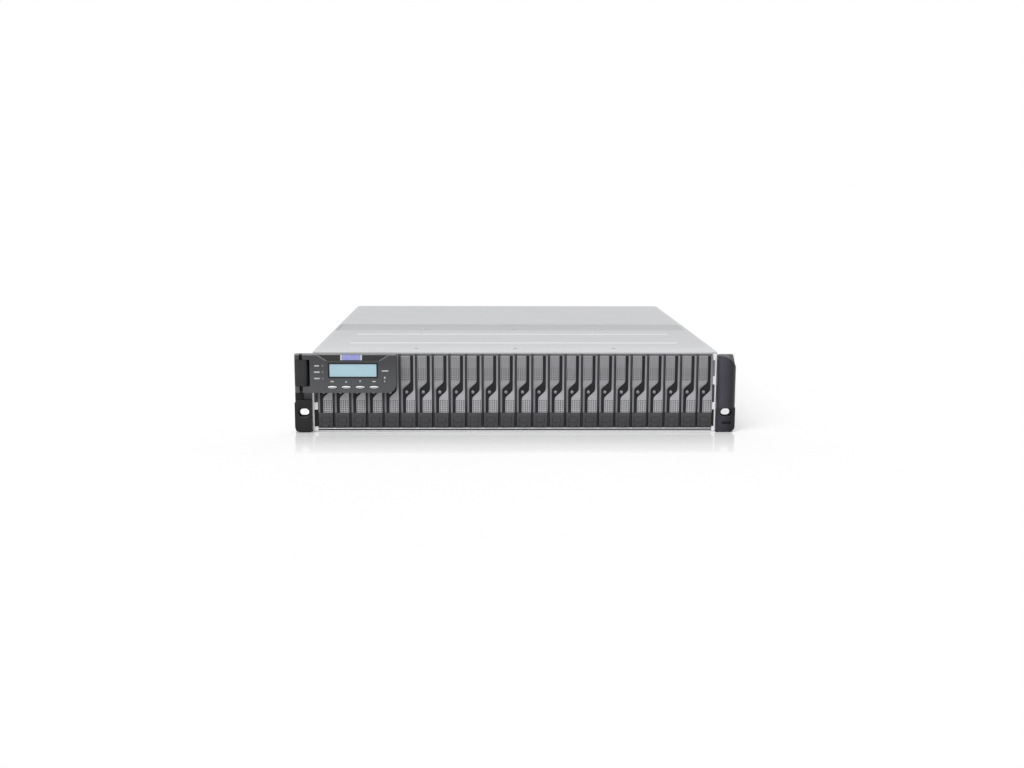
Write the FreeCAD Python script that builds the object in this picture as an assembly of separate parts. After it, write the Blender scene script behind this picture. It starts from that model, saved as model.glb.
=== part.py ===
import FreeCAD
import Part
import math
import os

# Storage array for a 19-inch rack: 24 upright drive bays, two units high, with a hinged
# control panel at the front left. Millimetres, +X right, +Y back, +Z up.
# The model is drawn with Y = 0 at the front edge of the sheet-metal body and is then
# moved so that its origin is at the bottom centre of its box.

# Rack fit
ear_width = 17.8
slot_offset = 9.05
slot_length = 10.0
slot_width = 7.0
slot_height = 21.4
slot_margin = 1.5

# Sheet-metal body
body_depth = 500.0
sheet = 1.2
flange_thick = 2.0
flange_face = -8.0
sill_reach = 9.0
sill_height = 3.4
groove_height = 0.7
groove_depth = 0.8
strip_width = 4.6
strip_notch_left = 4.0
strip_notch_right = 2.4
strip_windows = ((61.0, 79.0), (32.0, 52.0), (5.0, 24.0))
fit_gap = 0.3

# Covers
bead_height = 0.6
bead_width = 5.0
bead_crest = 2.5
bead_length = 380.0
bead_rows = (74.0, 156.0)
band_start = 196.0
band_end = 265.0
band_lap = 10.0
hem_height = 2.0
lip_height = 3.2
screw_row = 216.0
screw_spacing = 111.0
screw_radius = 3.0
screw_head = 1.0
screw_sides = 12

# Drive bays and trays
bay_count = 24
hidden_bays = 5
bay_wall = 1.0
cage_side = 5.1
tray_gap = 2.6
tray_bottom = 4.3
tray_side = 0.3
tray_head = 2.4
tray_front = -10.0
cage_depth = 142.0
rail_height = 4.9
bezel_back = 4.0
bezel_side = 2.5
bezel_bar = 4.0
board_gap = 0.5
drive_width = 15.0
drive_tall = 69.85
drive_length = 100.2
drive_head = 0.65
adapter_length = 14.0
adapter_thick = 5.0

# Tray flap, measured across from the tray's left edge and down from its top
block_height = 16.2
flap_gap = 0.4
channel_depth = 0.8
roll_radius = 1.3
roll_clearance = 0.15
roll_cap = 0.5
channel_edge = 2.0
channel_width = 3.5
bend_top = 30.0
bend_bottom = 47.4
bend_rise = 8.0
button_width = 9.0
button_height = 6.0
button_proud = 0.4
button_gap = 0.15

# Control panel
panel_short = 1.8
panel_height = 42.1
panel_gap = 1.1
panel_thick = 11.0
panel_corner = 9.0
panel_edge = 1.0
hinge_out = 10.1
hinge_slit = 2.2
hinge_side_gap = 0.4
upper_arm = 5.7
lower_arm = 7.0
pin_radius = 2.0
pin_clearance = 0.05
pin_recess = 1.0
pin_snap = 3.4
brow_top_half = 38.7
brow_foot_half = 27.8
brow_height = 7.0
brow_depth = 3.0
screen_offset = 0.1
screen_width = 51.4
screen_height = 14.3
screen_up = 17.6
screen_depth = 2.0
screen_inset = 0.4
screen_gap = 0.1
key_names = ("key_escape", "key_up", "key_down", "key_enter")
key_pitch = 15.13
key_up = 6.4
key_length = 9.6
key_width = 2.4
key_depth = 5.0
key_proud = 0.9
key_travel = 1.0
key_gap = 0.2

# Rack-ear covers
ear_wrap = 1.0
ear_lap = 2.2
ear_back_thick = 1.3
ear_plate_thick = 7.5
ear_notch = 9.2
ear_corner = 6.0
knuckle_round = 4.5
ear_gap = 0.3
ear_slant = 3.4
ear_slope = 13.0
bulge_reach = 22.0
bulge_fall = 2.0
bulge_round = 4.0
bulge_far_round = 9.5
bulge_above_slot = 5.8
bulge_drop = 13.8
foot_recess_up = 10.2
foot_recess_length = 10.0
foot_recess_width = 3.2
foot_recess_depth = 2.5

# Modules at the back
midplane_thick = 2.4
socket_depth = 5.0
socket_width = 6.0
socket_height = 34.0
plug_gap = 0.3
module_gap = 3.0
module_plate = 1.5
controller_width = 257.0
brace_gap = 0.2
module_shell = 1.0
board_thick = 1.6
board_lift = 5.0
shelf_thick = 1.2
brace_width = 20.0
brace_height = 3.2
port_depth = 2.5
port_sizes = ((13.5, 9.5), (13.5, 9.5), (13.5, 9.5), (13.5, 9.5), (16.0, 13.0), (16.0, 13.0))
port_step = 22.0
lever_length = 34.0
lever_height = 9.0
lever_thick = 5.0
fan_radius = 22.5
fan_tip_gap = 1.2
fan_depth = 18.0
fan_inset = 4.0
hub_radius = 10.0
hub_sides = 20
blade_count = 5
blade_width = 16.0
blade_sink = 1.0
blade_thick = 1.4
blade_pitch = 35.0
axle_radius = 2.5
axle_clearance = 0.05
guard_bar = 1.6
guard_share = 0.6
guard_sides = 24
fan_head = 2.7
inlet_width = 28.0
inlet_height = 20.5
inlet_depth = 17.0
inlet_low = 12.0
inlet_corner = 3.0
handle_reach = 20.0
handle_bar = 6.0
handle_height = 60.0
handle_corner = 6.0

# Places worked out from the sizes above
tray_width = drive_width + 2 * tray_side
tray_height = drive_tall + 2 * rail_height + drive_head
tray_top = tray_bottom + tray_height
bay_pitch = tray_width + tray_gap
body_width = bay_count * bay_pitch + 2 * cage_side
body_height = tray_top + tray_head
half_body = body_width / 2.0
half_inside = half_body - sheet
wall_top = body_height - sheet
ear_span = body_width + 2 * ear_width
slot_pitch = body_width + 2 * slot_offset
ear_edge = ear_span / 2.0 + ear_wrap
ear_face = flange_face - ear_back_thick
foot_face = flange_face - ear_plate_thick
channel_left = channel_edge
channel_right = tray_width - channel_edge
flap_bottom = tray_bottom + block_height + fit_gap
flap_thick = 2.0 * roll_radius
roll_y = tray_front + roll_radius
roll_z = tray_top - roll_cap - roll_clearance - roll_radius
bezel_face = tray_front + flap_thick + flap_gap
hinge_across = -half_body - hinge_out
hinge_radius = ear_width - hinge_out - ear_gap
hinge_y = min(ear_face - fit_gap - hinge_radius,
              tray_front - button_proud - panel_gap - panel_thick / 2.0)
panel_back = hinge_y + panel_thick / 2.0
panel_front = panel_back - panel_thick
panel_left = hinge_across + hinge_radius + hinge_slit
panel_right = (hidden_bays - bay_count / 2.0) * bay_pitch - tray_gap / 2.0 - panel_short
panel_bottom = body_height - panel_height
screen_centre = (panel_left + panel_right) / 2.0 + screen_offset
screen_bottom = panel_bottom + screen_up
key_row = panel_bottom + key_up
key_front = panel_front - key_proud
ear_lower_top = panel_bottom - ear_notch
bulge_bottom = slot_height + bulge_above_slot
bulge_crown = wall_top - ear_gap
module_start = cage_depth + midplane_thick + socket_depth + module_gap
brace_low = wall_top - sheet - brace_height
controller_height = (brace_low - brace_gap - sheet - shelf_thick - 4 * fit_gap) / 2.0
front_reach = -key_front
rear_reach = body_depth + module_plate + handle_reach
origin_y = (rear_reach - front_reach) / 2.0


def vec(x, y, z):
    return FreeCAD.Vector(x, y, z)


def box(x0, x1, y0, y1, z0, z1):
    return Part.makeBox(x1 - x0, y1 - y0, z1 - z0, vec(x0, y0, z0))


def rounded_face(corners, place):
    """Face of a closed outline: each corner is (u, v, radius) and place sets (u, v) in space."""
    count = len(corners)
    ends = []
    edges = []
    for index in range(count):
        u, v, radius = corners[index]
        before = corners[index - 1]
        after = corners[(index + 1) % count]
        back = math.hypot(before[0] - u, before[1] - v)
        ahead = math.hypot(after[0] - u, after[1] - v)
        to_back = ((before[0] - u) / back, (before[1] - v) / back)
        to_ahead = ((after[0] - u) / ahead, (after[1] - v) / ahead)
        if radius == 0:
            ends.append(((u, v), (u, v), None))
            continue
        cosine = to_back[0] * to_ahead[0] + to_back[1] * to_ahead[1]
        half = math.acos(cosine) / 2.0
        run = radius / math.tan(half)
        middle = (to_back[0] + to_ahead[0], to_back[1] + to_ahead[1])
        reach = (radius / math.sin(half) - radius) / math.hypot(*middle)
        start = (u + to_back[0] * run, v + to_back[1] * run)
        stop = (u + to_ahead[0] * run, v + to_ahead[1] * run)
        ends.append((start, stop, (u + middle[0] * reach, v + middle[1] * reach)))
    for index in range(count):
        start, stop, top = ends[index]
        following = ends[(index + 1) % count][0]
        if top is not None:
            edges.append(Part.Arc(place(*start), place(*top), place(*stop)).toShape())
        if math.hypot(following[0] - stop[0], following[1] - stop[1]) > 1e-6:
            edges.append(Part.LineSegment(place(*stop), place(*following)).toShape())
    return Part.Face(Part.Wire(edges))


def along_x(corners, x0, x1):
    return rounded_face(corners, lambda u, v: vec(x0, u, v)).extrude(vec(x1 - x0, 0, 0))


def along_y(corners, y0, y1):
    return rounded_face(corners, lambda u, v: vec(u, y0, v)).extrude(vec(0, y1 - y0, 0))


def along_z(corners, z0, z1):
    return rounded_face(corners, lambda u, v: vec(u, v, z0)).extrude(vec(0, 0, z1 - z0))


def rectangle(u0, u1, v0, v1, radius=0.0):
    return ((u0, v0, radius), (u1, v0, radius), (u1, v1, radius), (u0, v1, radius))


def stadium(across, up, length, width, y0, y1):
    """Bar or slot with round ends, long across the front, running from y0 to y1."""
    half = length / 2.0 - width / 2.0
    middle = box(across - half, across + half, y0, y1, up - width / 2.0, up + width / 2.0)
    for side in (-half, half):
        middle = middle.fuse(rod_y(across + side, up, width / 2.0, y0, y1))
    return middle.removeSplitter()


def rod_x(y, z, radius, x0, x1):
    return Part.makeCylinder(radius, x1 - x0, vec(x0, y, z), vec(1, 0, 0))


def rod_y(x, z, radius, y0, y1):
    return Part.makeCylinder(radius, y1 - y0, vec(x, y0, z), vec(0, 1, 0))


def rod_z(x, y, radius, z0, z1):
    return Part.makeCylinder(radius, z1 - z0, vec(x, y, z0), vec(0, 0, 1))


def many_sided(u, v, radius, sides):
    """Corners of a regular outline, for round pieces that need few facets."""
    corners = []
    for index in range(sides):
        angle = 2.0 * math.pi * index / sides
        corners.append((u + radius * math.cos(angle), v + radius * math.sin(angle), 0))
    return corners


def mirrored(shape):
    return shape.mirror(vec(0, 0, 0), vec(1, 0, 0))


def join(shapes):
    return shapes[0].multiFuse(shapes[1:]).removeSplitter()


def bay_centre(bay):
    """Middle of a bay across the front, with bay 1 at the left."""
    return (bay - (bay_count + 1) / 2.0) * bay_pitch


def rack_slot(side, y0, y1, margin=0.0):
    return stadium(side * slot_pitch / 2.0, slot_height, slot_length + 2 * margin,
                   slot_width + 2 * margin, y0, y1)


def chassis_side(notch):
    """Right side wall with its rack flange and a front strip with windows as wide as the notch."""
    wall = box(half_inside, half_body, flange_face, body_depth, 0, wall_top)
    flange_back = flange_face + flange_thick
    flange = box(half_inside, ear_span / 2.0, flange_face, flange_back, 0, wall_top)
    strip = box(half_inside - strip_width, half_body, -sill_reach, -sill_reach + sheet, 0, wall_top)
    for low, high in strip_windows:
        inner = half_inside - strip_width
        strip = strip.cut(box(inner, inner + notch, -sill_reach, -sill_reach + sheet, low, high))
    return wall.fuse(flange.cut(rack_slot(1, flange_face, flange_back))).fuse(strip)


def chassis_base():
    floor = box(-half_body, half_body, -sill_reach, body_depth, 0, sheet)
    sill = box(-half_inside, half_inside, -sill_reach, -sill_reach + sheet, 0, sill_height)
    groove = box(-half_inside + strip_width, half_inside - strip_width, -sill_reach,
                 -sill_reach + groove_depth, sheet, sheet + groove_height)
    pieces = [floor, sill.cut(groove), chassis_side(strip_notch_right),
              mirrored(chassis_side(strip_notch_left))]
    inner = controller_width / 2.0 + fit_gap
    shelf_low = sheet + controller_height + 2 * fit_gap
    partition_top = shelf_low + shelf_thick + controller_height + 2 * fit_gap
    partition = box(inner, inner + sheet, module_start, body_depth - fit_gap, 0, partition_top)
    shelf = box(-inner, inner, module_start, body_depth - fit_gap, shelf_low, shelf_low + shelf_thick)
    brace = box(-half_body + sheet / 2.0, half_body - sheet / 2.0, screw_row - brace_width / 2.0,
                screw_row + brace_width / 2.0, brace_low, wall_top - sheet)
    pieces += [partition, mirrored(partition), shelf, brace]
    return join(pieces)


def drive_cage():
    """Sheet frame with one open bay for each tray, set between floor and cover."""
    half = half_inside - fit_gap
    cage = box(-half, half, 0, cage_depth, sheet, wall_top)
    half_bay = (bay_pitch - bay_wall) / 2.0
    bays = []
    for bay in range(1, bay_count + 1):
        x = bay_centre(bay)
        bays.append(box(x - half_bay, x + half_bay, 0, cage_depth, tray_bottom - fit_gap,
                        tray_top + fit_gap))
    return cage.cut(Part.makeCompound(bays))


def midplane_board():
    half = half_inside - strip_width
    board = box(-half, half, cage_depth, cage_depth + midplane_thick, sheet, tray_top)
    middle = tray_bottom + tray_height / 2.0
    sockets = []
    slots = []
    for bay in range(1, bay_count + 1):
        x = bay_centre(bay)
        low = middle - socket_height / 2.0
        sockets.append(box(x - socket_width / 2.0, x + socket_width / 2.0, cage_depth - socket_depth,
                           cage_depth, low, low + socket_height))
        if bay % 2 == 0:
            slots.append(box(x - socket_width, x + socket_width, cage_depth,
                             cage_depth + midplane_thick, low - socket_height / 2.0, low - sheet))
    board = board.cut(Part.makeCompound(slots))
    rear = cage_depth + midplane_thick
    for x, z in module_centres():
        sockets.append(box(x - socket_height, x + socket_height, rear, rear + socket_depth,
                           z - socket_width, z + socket_width))
    return Part.makeCompound([board] + sockets)


def module_centres():
    """Middle of each module at the back, across and up: two controllers, then two supplies."""
    low = sheet + fit_gap + controller_height / 2.0
    high = low + controller_height + 2 * fit_gap + shelf_thick
    side = supply_left_edge() + supply_width() / 2.0
    return ((0, low), (0, high), (-side, (low + high) / 2.0), (side, (low + high) / 2.0))


def supply_left_edge():
    return controller_width / 2.0 + 2 * fit_gap + sheet


def supply_width():
    return half_inside - fit_gap - supply_left_edge()


def top_cover_front():
    """Front cover with a hem, two long beads and a sunk band between rims, which its screws hold down."""
    top = box(-half_body, half_body, 0, band_start, wall_top, body_height)
    half_hem = half_inside - strip_width
    hem = box(-half_hem, half_hem, -sheet, 0, body_height - hem_height, body_height)
    half_band = half_inside - fit_gap
    band_top = wall_top
    step = box(-half_band, half_band, band_start - sheet, band_start, band_top - sheet, body_height)
    band = box(-half_band, half_band, band_start - sheet, band_end + band_lap, band_top - sheet, band_top)
    rim = box(half_band - sheet, half_body, band_start, band_end - fit_gap, wall_top, body_height)
    pieces = [top, hem, step, band, rim, mirrored(rim)]
    for row in bead_rows:
        profile = ((row - bead_width / 2.0, body_height, 0), (row + bead_width / 2.0, body_height, 0),
                   (row + bead_crest / 2.0, body_height + bead_height, 0),
                   (row - bead_crest / 2.0, body_height + bead_height, 0))
        pieces.append(along_x(profile, -bead_length / 2.0, bead_length / 2.0))
    return join(pieces)


def top_cover_rear():
    """Rear cover with a lip down each side and one across the back, above the modules."""
    top = box(-half_body, half_body, band_end, body_depth, wall_top, body_height)
    across = half_inside - fit_gap
    lips = [box(-across, across, body_depth - sheet, body_depth, brace_low, wall_top)]
    for side in (-1, 1):
        outer = side * across
        inner = outer - side * sheet
        lips.append(box(min(outer, inner), max(outer, inner), band_end + band_lap + fit_gap, body_depth,
                        wall_top - lip_height, wall_top))
    return join([top] + lips)


def cover_screws():
    heads = []
    for step in (-1, 0, 1):
        outline = many_sided(step * screw_spacing, screw_row, screw_radius, screw_sides)
        heads.append(along_z(outline, wall_top, wall_top + screw_head))
    return Part.makeCompound(heads)


def tray_carrier(x):
    """Bezel, release block and rails of one tray, with a hooked seat for the flap's round top."""
    left = x - tray_width / 2.0
    right = x + tray_width / 2.0
    bezel = box(left, right, bezel_face, bezel_back, tray_bottom, tray_top)
    block = box(left, right, tray_front, bezel_face, tray_bottom, tray_bottom + block_height)
    cap = box(left, right, roll_y, bezel_face, tray_top - roll_cap, tray_top)
    rail_end = cage_depth - socket_depth - board_gap
    low_rail = box(left, right, bezel_back, rail_end, tray_bottom, tray_bottom + rail_height)
    high_rail = box(left, right, bezel_back, rail_end, tray_top - rail_height, tray_top)
    carrier = join([bezel, block, cap, low_rail, high_rail])
    air = box(left + bezel_side, right - bezel_side, bezel_face, bezel_back,
              flap_bottom + bezel_bar, roll_z - bezel_bar)
    half = button_width / 2.0 + button_gap
    middle = tray_bottom + block_height / 2.0
    pocket = box(x - half, x + half, tray_front, bezel_face, middle - button_height / 2.0 - button_gap,
                 middle + button_height / 2.0 + button_gap)
    return carrier.cut(Part.makeCompound([air, pocket]))


def tray_button(x):
    middle = tray_bottom + block_height / 2.0
    return box(x - button_width / 2.0, x + button_width / 2.0, tray_front - button_proud, bezel_face,
               middle - button_height / 2.0, middle + button_height / 2.0)


def tray_drive(x):
    """Drive on the carrier's lower rail, with the adapter board that meets the midplane."""
    plug_end = cage_depth - socket_depth - plug_gap
    drive_end = plug_end - adapter_length
    low = tray_bottom + rail_height
    drive = box(x - drive_width / 2.0, x + drive_width / 2.0, drive_end - drive_length, drive_end,
                low, low + drive_tall)
    middle = tray_bottom + tray_height / 2.0
    adapter = box(x - adapter_thick / 2.0, x + adapter_thick / 2.0, drive_end, plug_end,
                  middle - socket_height / 2.0, middle + socket_height / 2.0)
    return [drive, adapter]


def drive_tray(bay):
    x = bay_centre(bay)
    return [tray_carrier(x), tray_button(x)] + tray_drive(x)


def tray_flap(bay):
    """Hinged front of a tray: a plate with a round top edge and an S-shaped channel down its face."""
    left = bay_centre(bay) - tray_width / 2.0
    plate = box(left, left + tray_width, tray_front, tray_front + flap_thick, flap_bottom, roll_z)
    roll = rod_x(roll_y, roll_z, roll_radius, left, left + tray_width)
    upper_edge = channel_right - channel_width
    lower_edge = channel_left + channel_width
    bend = ((upper_edge, bend_top), (channel_left, bend_top + bend_rise),
            (lower_edge, bend_bottom), (channel_right, bend_bottom - bend_rise))
    corners = [(left + across, tray_top - down, 0) for across, down in bend]
    channel = along_y((corners[0], corners[1], (left + channel_left, flap_bottom, 0),
                       (left + lower_edge, flap_bottom, 0), corners[2], corners[3],
                       (left + channel_right, roll_z, 0), (left + upper_edge, roll_z, 0)),
                      tray_front, tray_front + channel_depth)
    return join([plate, roll]).cut(channel)


def left_ear():
    """Cover of the left flange: a lower block with the rack slot, and the panel's hinge knuckle."""
    left = -ear_edge
    right = -half_body
    back = along_y(rectangle(left, right, 0, wall_top, ear_gap), ear_face, flange_face)
    lower = along_y(((left, 0, ear_corner), (right, 0, ear_corner / 2.0), (right, ear_lower_top, 0),
                     (left + ear_corner / 2.0, ear_lower_top, 0),
                     (left, ear_lower_top - ear_corner / 2.0, 0)),
                    foot_face, ear_face)
    low, high = knuckle_span()
    far = hinge_across - hinge_radius
    near = hinge_across + hinge_radius
    knuckle = along_z(((far, ear_face, 0), (far, panel_front, knuckle_round),
                       (near, panel_front, knuckle_round), (near, ear_face, 0)), low, high)
    ear = join([back, lower, knuckle])
    hole = rod_z(hinge_across, hinge_y, pin_radius, low, high)
    slot = rack_slot(-1, foot_face, flange_face, slot_margin)
    return ear.cut(Part.makeCompound([hole, slot]))


def knuckle_span():
    return (panel_bottom + lower_arm + hinge_side_gap, body_height - upper_arm - hinge_side_gap)


def lcd_hinge_pin():
    return rod_z(hinge_across, hinge_y, pin_radius, panel_bottom + pin_recess, body_height - pin_recess)


def lcd_door():
    """Control panel with arms that snap over the hinge pin, a sloped brow, screen recess and key wells."""
    body = along_y(((panel_left, panel_bottom, 0), (panel_right, panel_bottom, panel_corner),
                    (panel_right, body_height, panel_edge), (panel_left, body_height, 0)),
                   panel_front, panel_back)
    arms = []
    for low, high in ((panel_bottom, panel_bottom + lower_arm), (body_height - upper_arm, body_height)):
        arm = box(hinge_across - hinge_radius, panel_left, panel_front, panel_back, low, high)
        eye = rod_z(hinge_across, hinge_y, hinge_radius, low, high)
        stem = box(hinge_across, panel_left, panel_front, panel_back, low, high)
        arms += [arm.common(eye), stem]
    door = join([body] + arms)
    foot = body_height - brow_height
    brow = along_y(((screen_centre - brow_foot_half, foot, 0), (screen_centre + brow_foot_half, foot, 0),
                    (screen_centre + brow_top_half, body_height, 0),
                    (screen_centre - brow_top_half, body_height, 0)), panel_front, panel_back)
    wedge = along_x(((panel_front, foot, 0), (panel_front, body_height, 0),
                     (panel_front + brow_depth, body_height, 0)), panel_left, panel_right)
    half = screen_width / 2.0
    screen = box(screen_centre - half, screen_centre + half, panel_front, panel_front + screen_depth,
                 screen_bottom, screen_bottom + screen_height)
    pin = rod_z(hinge_across, hinge_y, pin_radius + pin_clearance, panel_bottom, body_height)
    snap = box(hinge_across - pin_snap / 2.0, hinge_across + pin_snap / 2.0, panel_front, hinge_y,
               panel_bottom, body_height)
    cuts = [brow.common(wedge), screen, pin, snap]
    for x in key_places():
        well = key_front + key_depth + key_travel + key_gap
        cuts.append(stadium(x, key_row, key_length + 2 * key_gap, key_width + 2 * key_gap,
                            panel_front, well))
    for cutter in cuts:
        door = door.cut(cutter)
    return door


def key_places():
    middle = (len(key_names) - 1) / 2.0
    return [screen_centre + (index - middle) * key_pitch for index in range(len(key_names))]


def lcd_display():
    half = screen_width / 2.0 - screen_gap
    return box(screen_centre - half, screen_centre + half, panel_front + screen_inset,
               panel_front + screen_depth, screen_bottom + screen_gap,
               screen_bottom + screen_height - screen_gap)


def panel_key(x):
    return stadium(x, key_row, key_length, key_width, key_front, key_front + key_depth)


def right_ear():
    """Cover of the right flange: a flat foot with the rack slot, and a rounded grip with an arched top."""
    left = half_body - ear_lap
    right = ear_edge
    back = along_y(((half_body, 0, 0), (right, 0, ear_corner), (right, wall_top - ear_slope, ear_corner),
                    (right - ear_slant, wall_top, ear_slant / 2.0), (half_body, wall_top, 0)),
                   ear_face, flange_face)
    foot = along_y(((left, 0, 0), (right, 0, ear_corner), (right, bulge_bottom, 0), (left, bulge_bottom, 0)),
                   foot_face, ear_face)
    grip = along_z(((left, ear_face, 0), (left, -bulge_reach, bulge_round),
                    (right, -bulge_reach + bulge_fall, bulge_far_round), (right, ear_face, 0)),
                   bulge_bottom, body_height)
    ear = join([back, foot, grip.common(grip_arch(left, right))])
    slot = rack_slot(1, -bulge_reach, flange_face, slot_margin)
    recess = stadium(slot_pitch / 2.0, foot_recess_up, foot_recess_length, foot_recess_width, foot_face,
                     foot_face + foot_recess_depth)
    return ear.cut(Part.makeCompound([slot, recess]))


def grip_arch(left, right):
    """Front outline of the grip: its top is an arc that starts level at the left and falls to the right."""
    width = right - left
    radius = (width ** 2 + bulge_drop ** 2) / (2.0 * bulge_drop)
    half = math.asin(width / radius) / 2.0
    corners = [vec(left, -bulge_reach, bulge_bottom), vec(right, -bulge_reach, bulge_bottom),
               vec(right, -bulge_reach, bulge_crown - bulge_drop), vec(left, -bulge_reach, bulge_crown)]
    middle = vec(left + radius * math.sin(half), -bulge_reach, bulge_crown - radius * (1.0 - math.cos(half)))
    top = Part.Arc(corners[2], middle, corners[3]).toShape()
    edges = [Part.LineSegment(corners[0], corners[1]).toShape(),
             Part.LineSegment(corners[1], corners[2]).toShape(),
             top, Part.LineSegment(corners[3], corners[0]).toShape()]
    return Part.Face(Part.Wire(edges)).extrude(vec(0, bulge_reach + ear_face, 0))


def controller(index):
    """Slide-in controller: an open-ended can, its board, its plug and a back plate with ports."""
    x, z = module_centres()[index]
    half = controller_width / 2.0
    low = z - controller_height / 2.0
    high = z + controller_height / 2.0
    can = box(-half, half, module_start, body_depth, low, high)
    hollow = box(-half + module_shell, half - module_shell, module_start, body_depth - module_plate,
                 low + module_shell, high - module_shell)
    plate = box(-half - sheet, half + sheet, body_depth, body_depth + module_plate + port_depth,
                low + fit_gap, high - fit_gap)
    ports = []
    face = body_depth + module_plate + port_depth
    for column, (width, height) in enumerate(port_sizes):
        port_x = (column - (len(port_sizes) - 1) / 2.0) * port_step
        ports.append(box(port_x - width / 2.0, port_x + width / 2.0, face - port_depth, face,
                         z - height / 2.0, z + height / 2.0))
    can = can.cut(hollow).fuse(plate).cut(Part.makeCompound(ports)).removeSplitter()
    deck = low + module_shell + board_lift
    board = box(-half + 2 * module_shell, half - 2 * module_shell, module_start, body_depth - module_plate,
                deck, deck + board_thick)
    post = box(-socket_height, socket_height, module_start, module_start + socket_depth,
               low + module_shell, deck)
    plug = box(x - socket_height, x + socket_height, module_start - module_gap + plug_gap,
               module_start + socket_depth, deck + board_thick, z + socket_width)
    levers = []
    for side in (-1, 1):
        middle = side * (half - lever_length / 2.0 - module_gap)
        lever = along_z(rectangle(middle - lever_length / 2.0, middle + lever_length / 2.0, face,
                                  face + lever_thick), z - lever_height / 2.0, z + lever_height / 2.0)
        levers.append(lever)
    return Part.makeCompound([can, board, post, plug] + levers)


def fan_place(side):
    x, z = module_centres()[3]
    top = 2 * z - sheet - fit_gap
    return (side * x, top - fan_head - fan_radius - fan_tip_gap)


def fan_span():
    start = body_depth + module_plate - fan_inset - fan_depth
    return (start, start + fan_depth)


def supply(side):
    """Power supply with a fan well behind a ring guard, a mains inlet and a pull handle."""
    x, z = module_centres()[3]
    x = side * x
    half = supply_width() / 2.0
    low = sheet + fit_gap
    high = 2 * z - low
    face = body_depth + module_plate
    case = box(x - half, x + half, module_start, body_depth, low, high)
    plate = box(x - half - fit_gap, x + half + fit_gap, body_depth, face, low, high)
    fan_x, fan_z = fan_place(side)
    well = rod_y(fan_x, fan_z, fan_radius + fan_tip_gap, fan_span()[0] - fan_inset, face)
    inlet_z = low + inlet_low
    inlet = along_y(rectangle(x - inlet_width / 2.0, x + inlet_width / 2.0, inlet_z - inlet_height / 2.0,
                              inlet_z + inlet_height / 2.0, inlet_corner), face - inlet_depth, face)
    case = case.fuse(plate).cut(well).cut(inlet)
    axle = rod_y(fan_x, fan_z, axle_radius, fan_span()[0] - fan_inset, face)
    guard = [axle]
    radius = guard_share * (fan_radius + fan_tip_gap)
    ring = along_y(many_sided(fan_x, fan_z, radius + guard_bar / 2.0, guard_sides),
                   face - guard_bar, face)
    inside = along_y(many_sided(fan_x, fan_z, radius - guard_bar / 2.0, guard_sides),
                     face - guard_bar, face)
    guard.append(ring.cut(inside))
    reach = fan_radius + fan_tip_gap + guard_bar
    guard.append(box(fan_x - reach, fan_x + reach, face - guard_bar, face, fan_z - guard_bar / 2.0,
                     fan_z + guard_bar / 2.0))
    guard.append(box(fan_x - guard_bar / 2.0, fan_x + guard_bar / 2.0, face - guard_bar, face, fan_z - reach,
                     fan_z + reach))
    bar_x = x - side * (half - handle_bar)
    foot = z - handle_height / 2.0
    top = z + handle_height / 2.0
    handle = along_x(((face, foot, 0), (face + handle_reach, foot, handle_corner),
                      (face + handle_reach, top, handle_corner), (face, top, 0)),
                     bar_x - handle_bar / 2.0, bar_x + handle_bar / 2.0)
    grip = box(bar_x - handle_bar, bar_x + handle_bar, face, face + handle_reach - handle_bar,
               foot + handle_bar, top - handle_bar)
    return join([case] + guard + [handle.cut(grip)])


def fan(side):
    """Rotor with pitched blades on a hub, turning on the supply's axle."""
    x, z = fan_place(side)
    start, stop = fan_span()
    hub = along_y(many_sided(x, z, hub_radius, hub_sides), start, stop)
    tip = math.sqrt(fan_radius ** 2 - (blade_width / 2.0) ** 2)
    blades = []
    for index in range(blade_count):
        blade = box(hub_radius - blade_sink, tip, -blade_thick / 2.0, blade_thick / 2.0,
                    -blade_width / 2.0, blade_width / 2.0)
        blade.rotate(vec(0, 0, 0), vec(1, 0, 0), 90 - blade_pitch)
        blade.rotate(vec(0, 0, 0), vec(0, 1, 0), 360.0 * index / blade_count)
        blade.translate(vec(x, (start + stop) / 2.0, z))
        blades.append(blade)
    bore = rod_y(x, z, axle_radius + axle_clearance, start, stop)
    return hub.multiFuse(blades).cut(bore).removeSplitter()


def storage_array():
    """Every piece of the array by name."""
    nodes = {
        "chassis_base": chassis_base(),
        "drive_cage": drive_cage(),
        "midplane_board": midplane_board(),
        "top_cover_front": top_cover_front(),
        "top_cover_rear": top_cover_rear(),
        "cover_screws": cover_screws(),
        "left_ear": left_ear(),
        "right_ear": right_ear(),
        "lcd_door": lcd_door(),
        "lcd_display": lcd_display(),
        "lcd_hinge_pin": lcd_hinge_pin(),
        "controller_lower": controller(0),
        "controller_upper": controller(1),
        "psu_left": supply(-1),
        "psu_right": supply(1),
        "fan_left": fan(-1),
        "fan_right": fan(1),
    }
    for name, x in zip(key_names, key_places()):
        nodes[name] = panel_key(x)
    hidden = []
    for bay in range(1, bay_count + 1):
        if bay <= hidden_bays:
            hidden += drive_tray(bay) + [tray_flap(bay)]
        else:
            nodes["drive_tray_%02d" % bay] = Part.makeCompound(drive_tray(bay))
            nodes["tray_flap_%02d" % bay] = tray_flap(bay)
    nodes["drive_trays_behind_panel"] = Part.makeCompound(hidden)
    return nodes


os.makedirs("parts", exist_ok=True)
for name, shape in storage_array().items():
    shape.translate(vec(0, -origin_y, 0))
    shape.exportStep(os.path.join("parts", name + ".step"))
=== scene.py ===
import math

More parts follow.
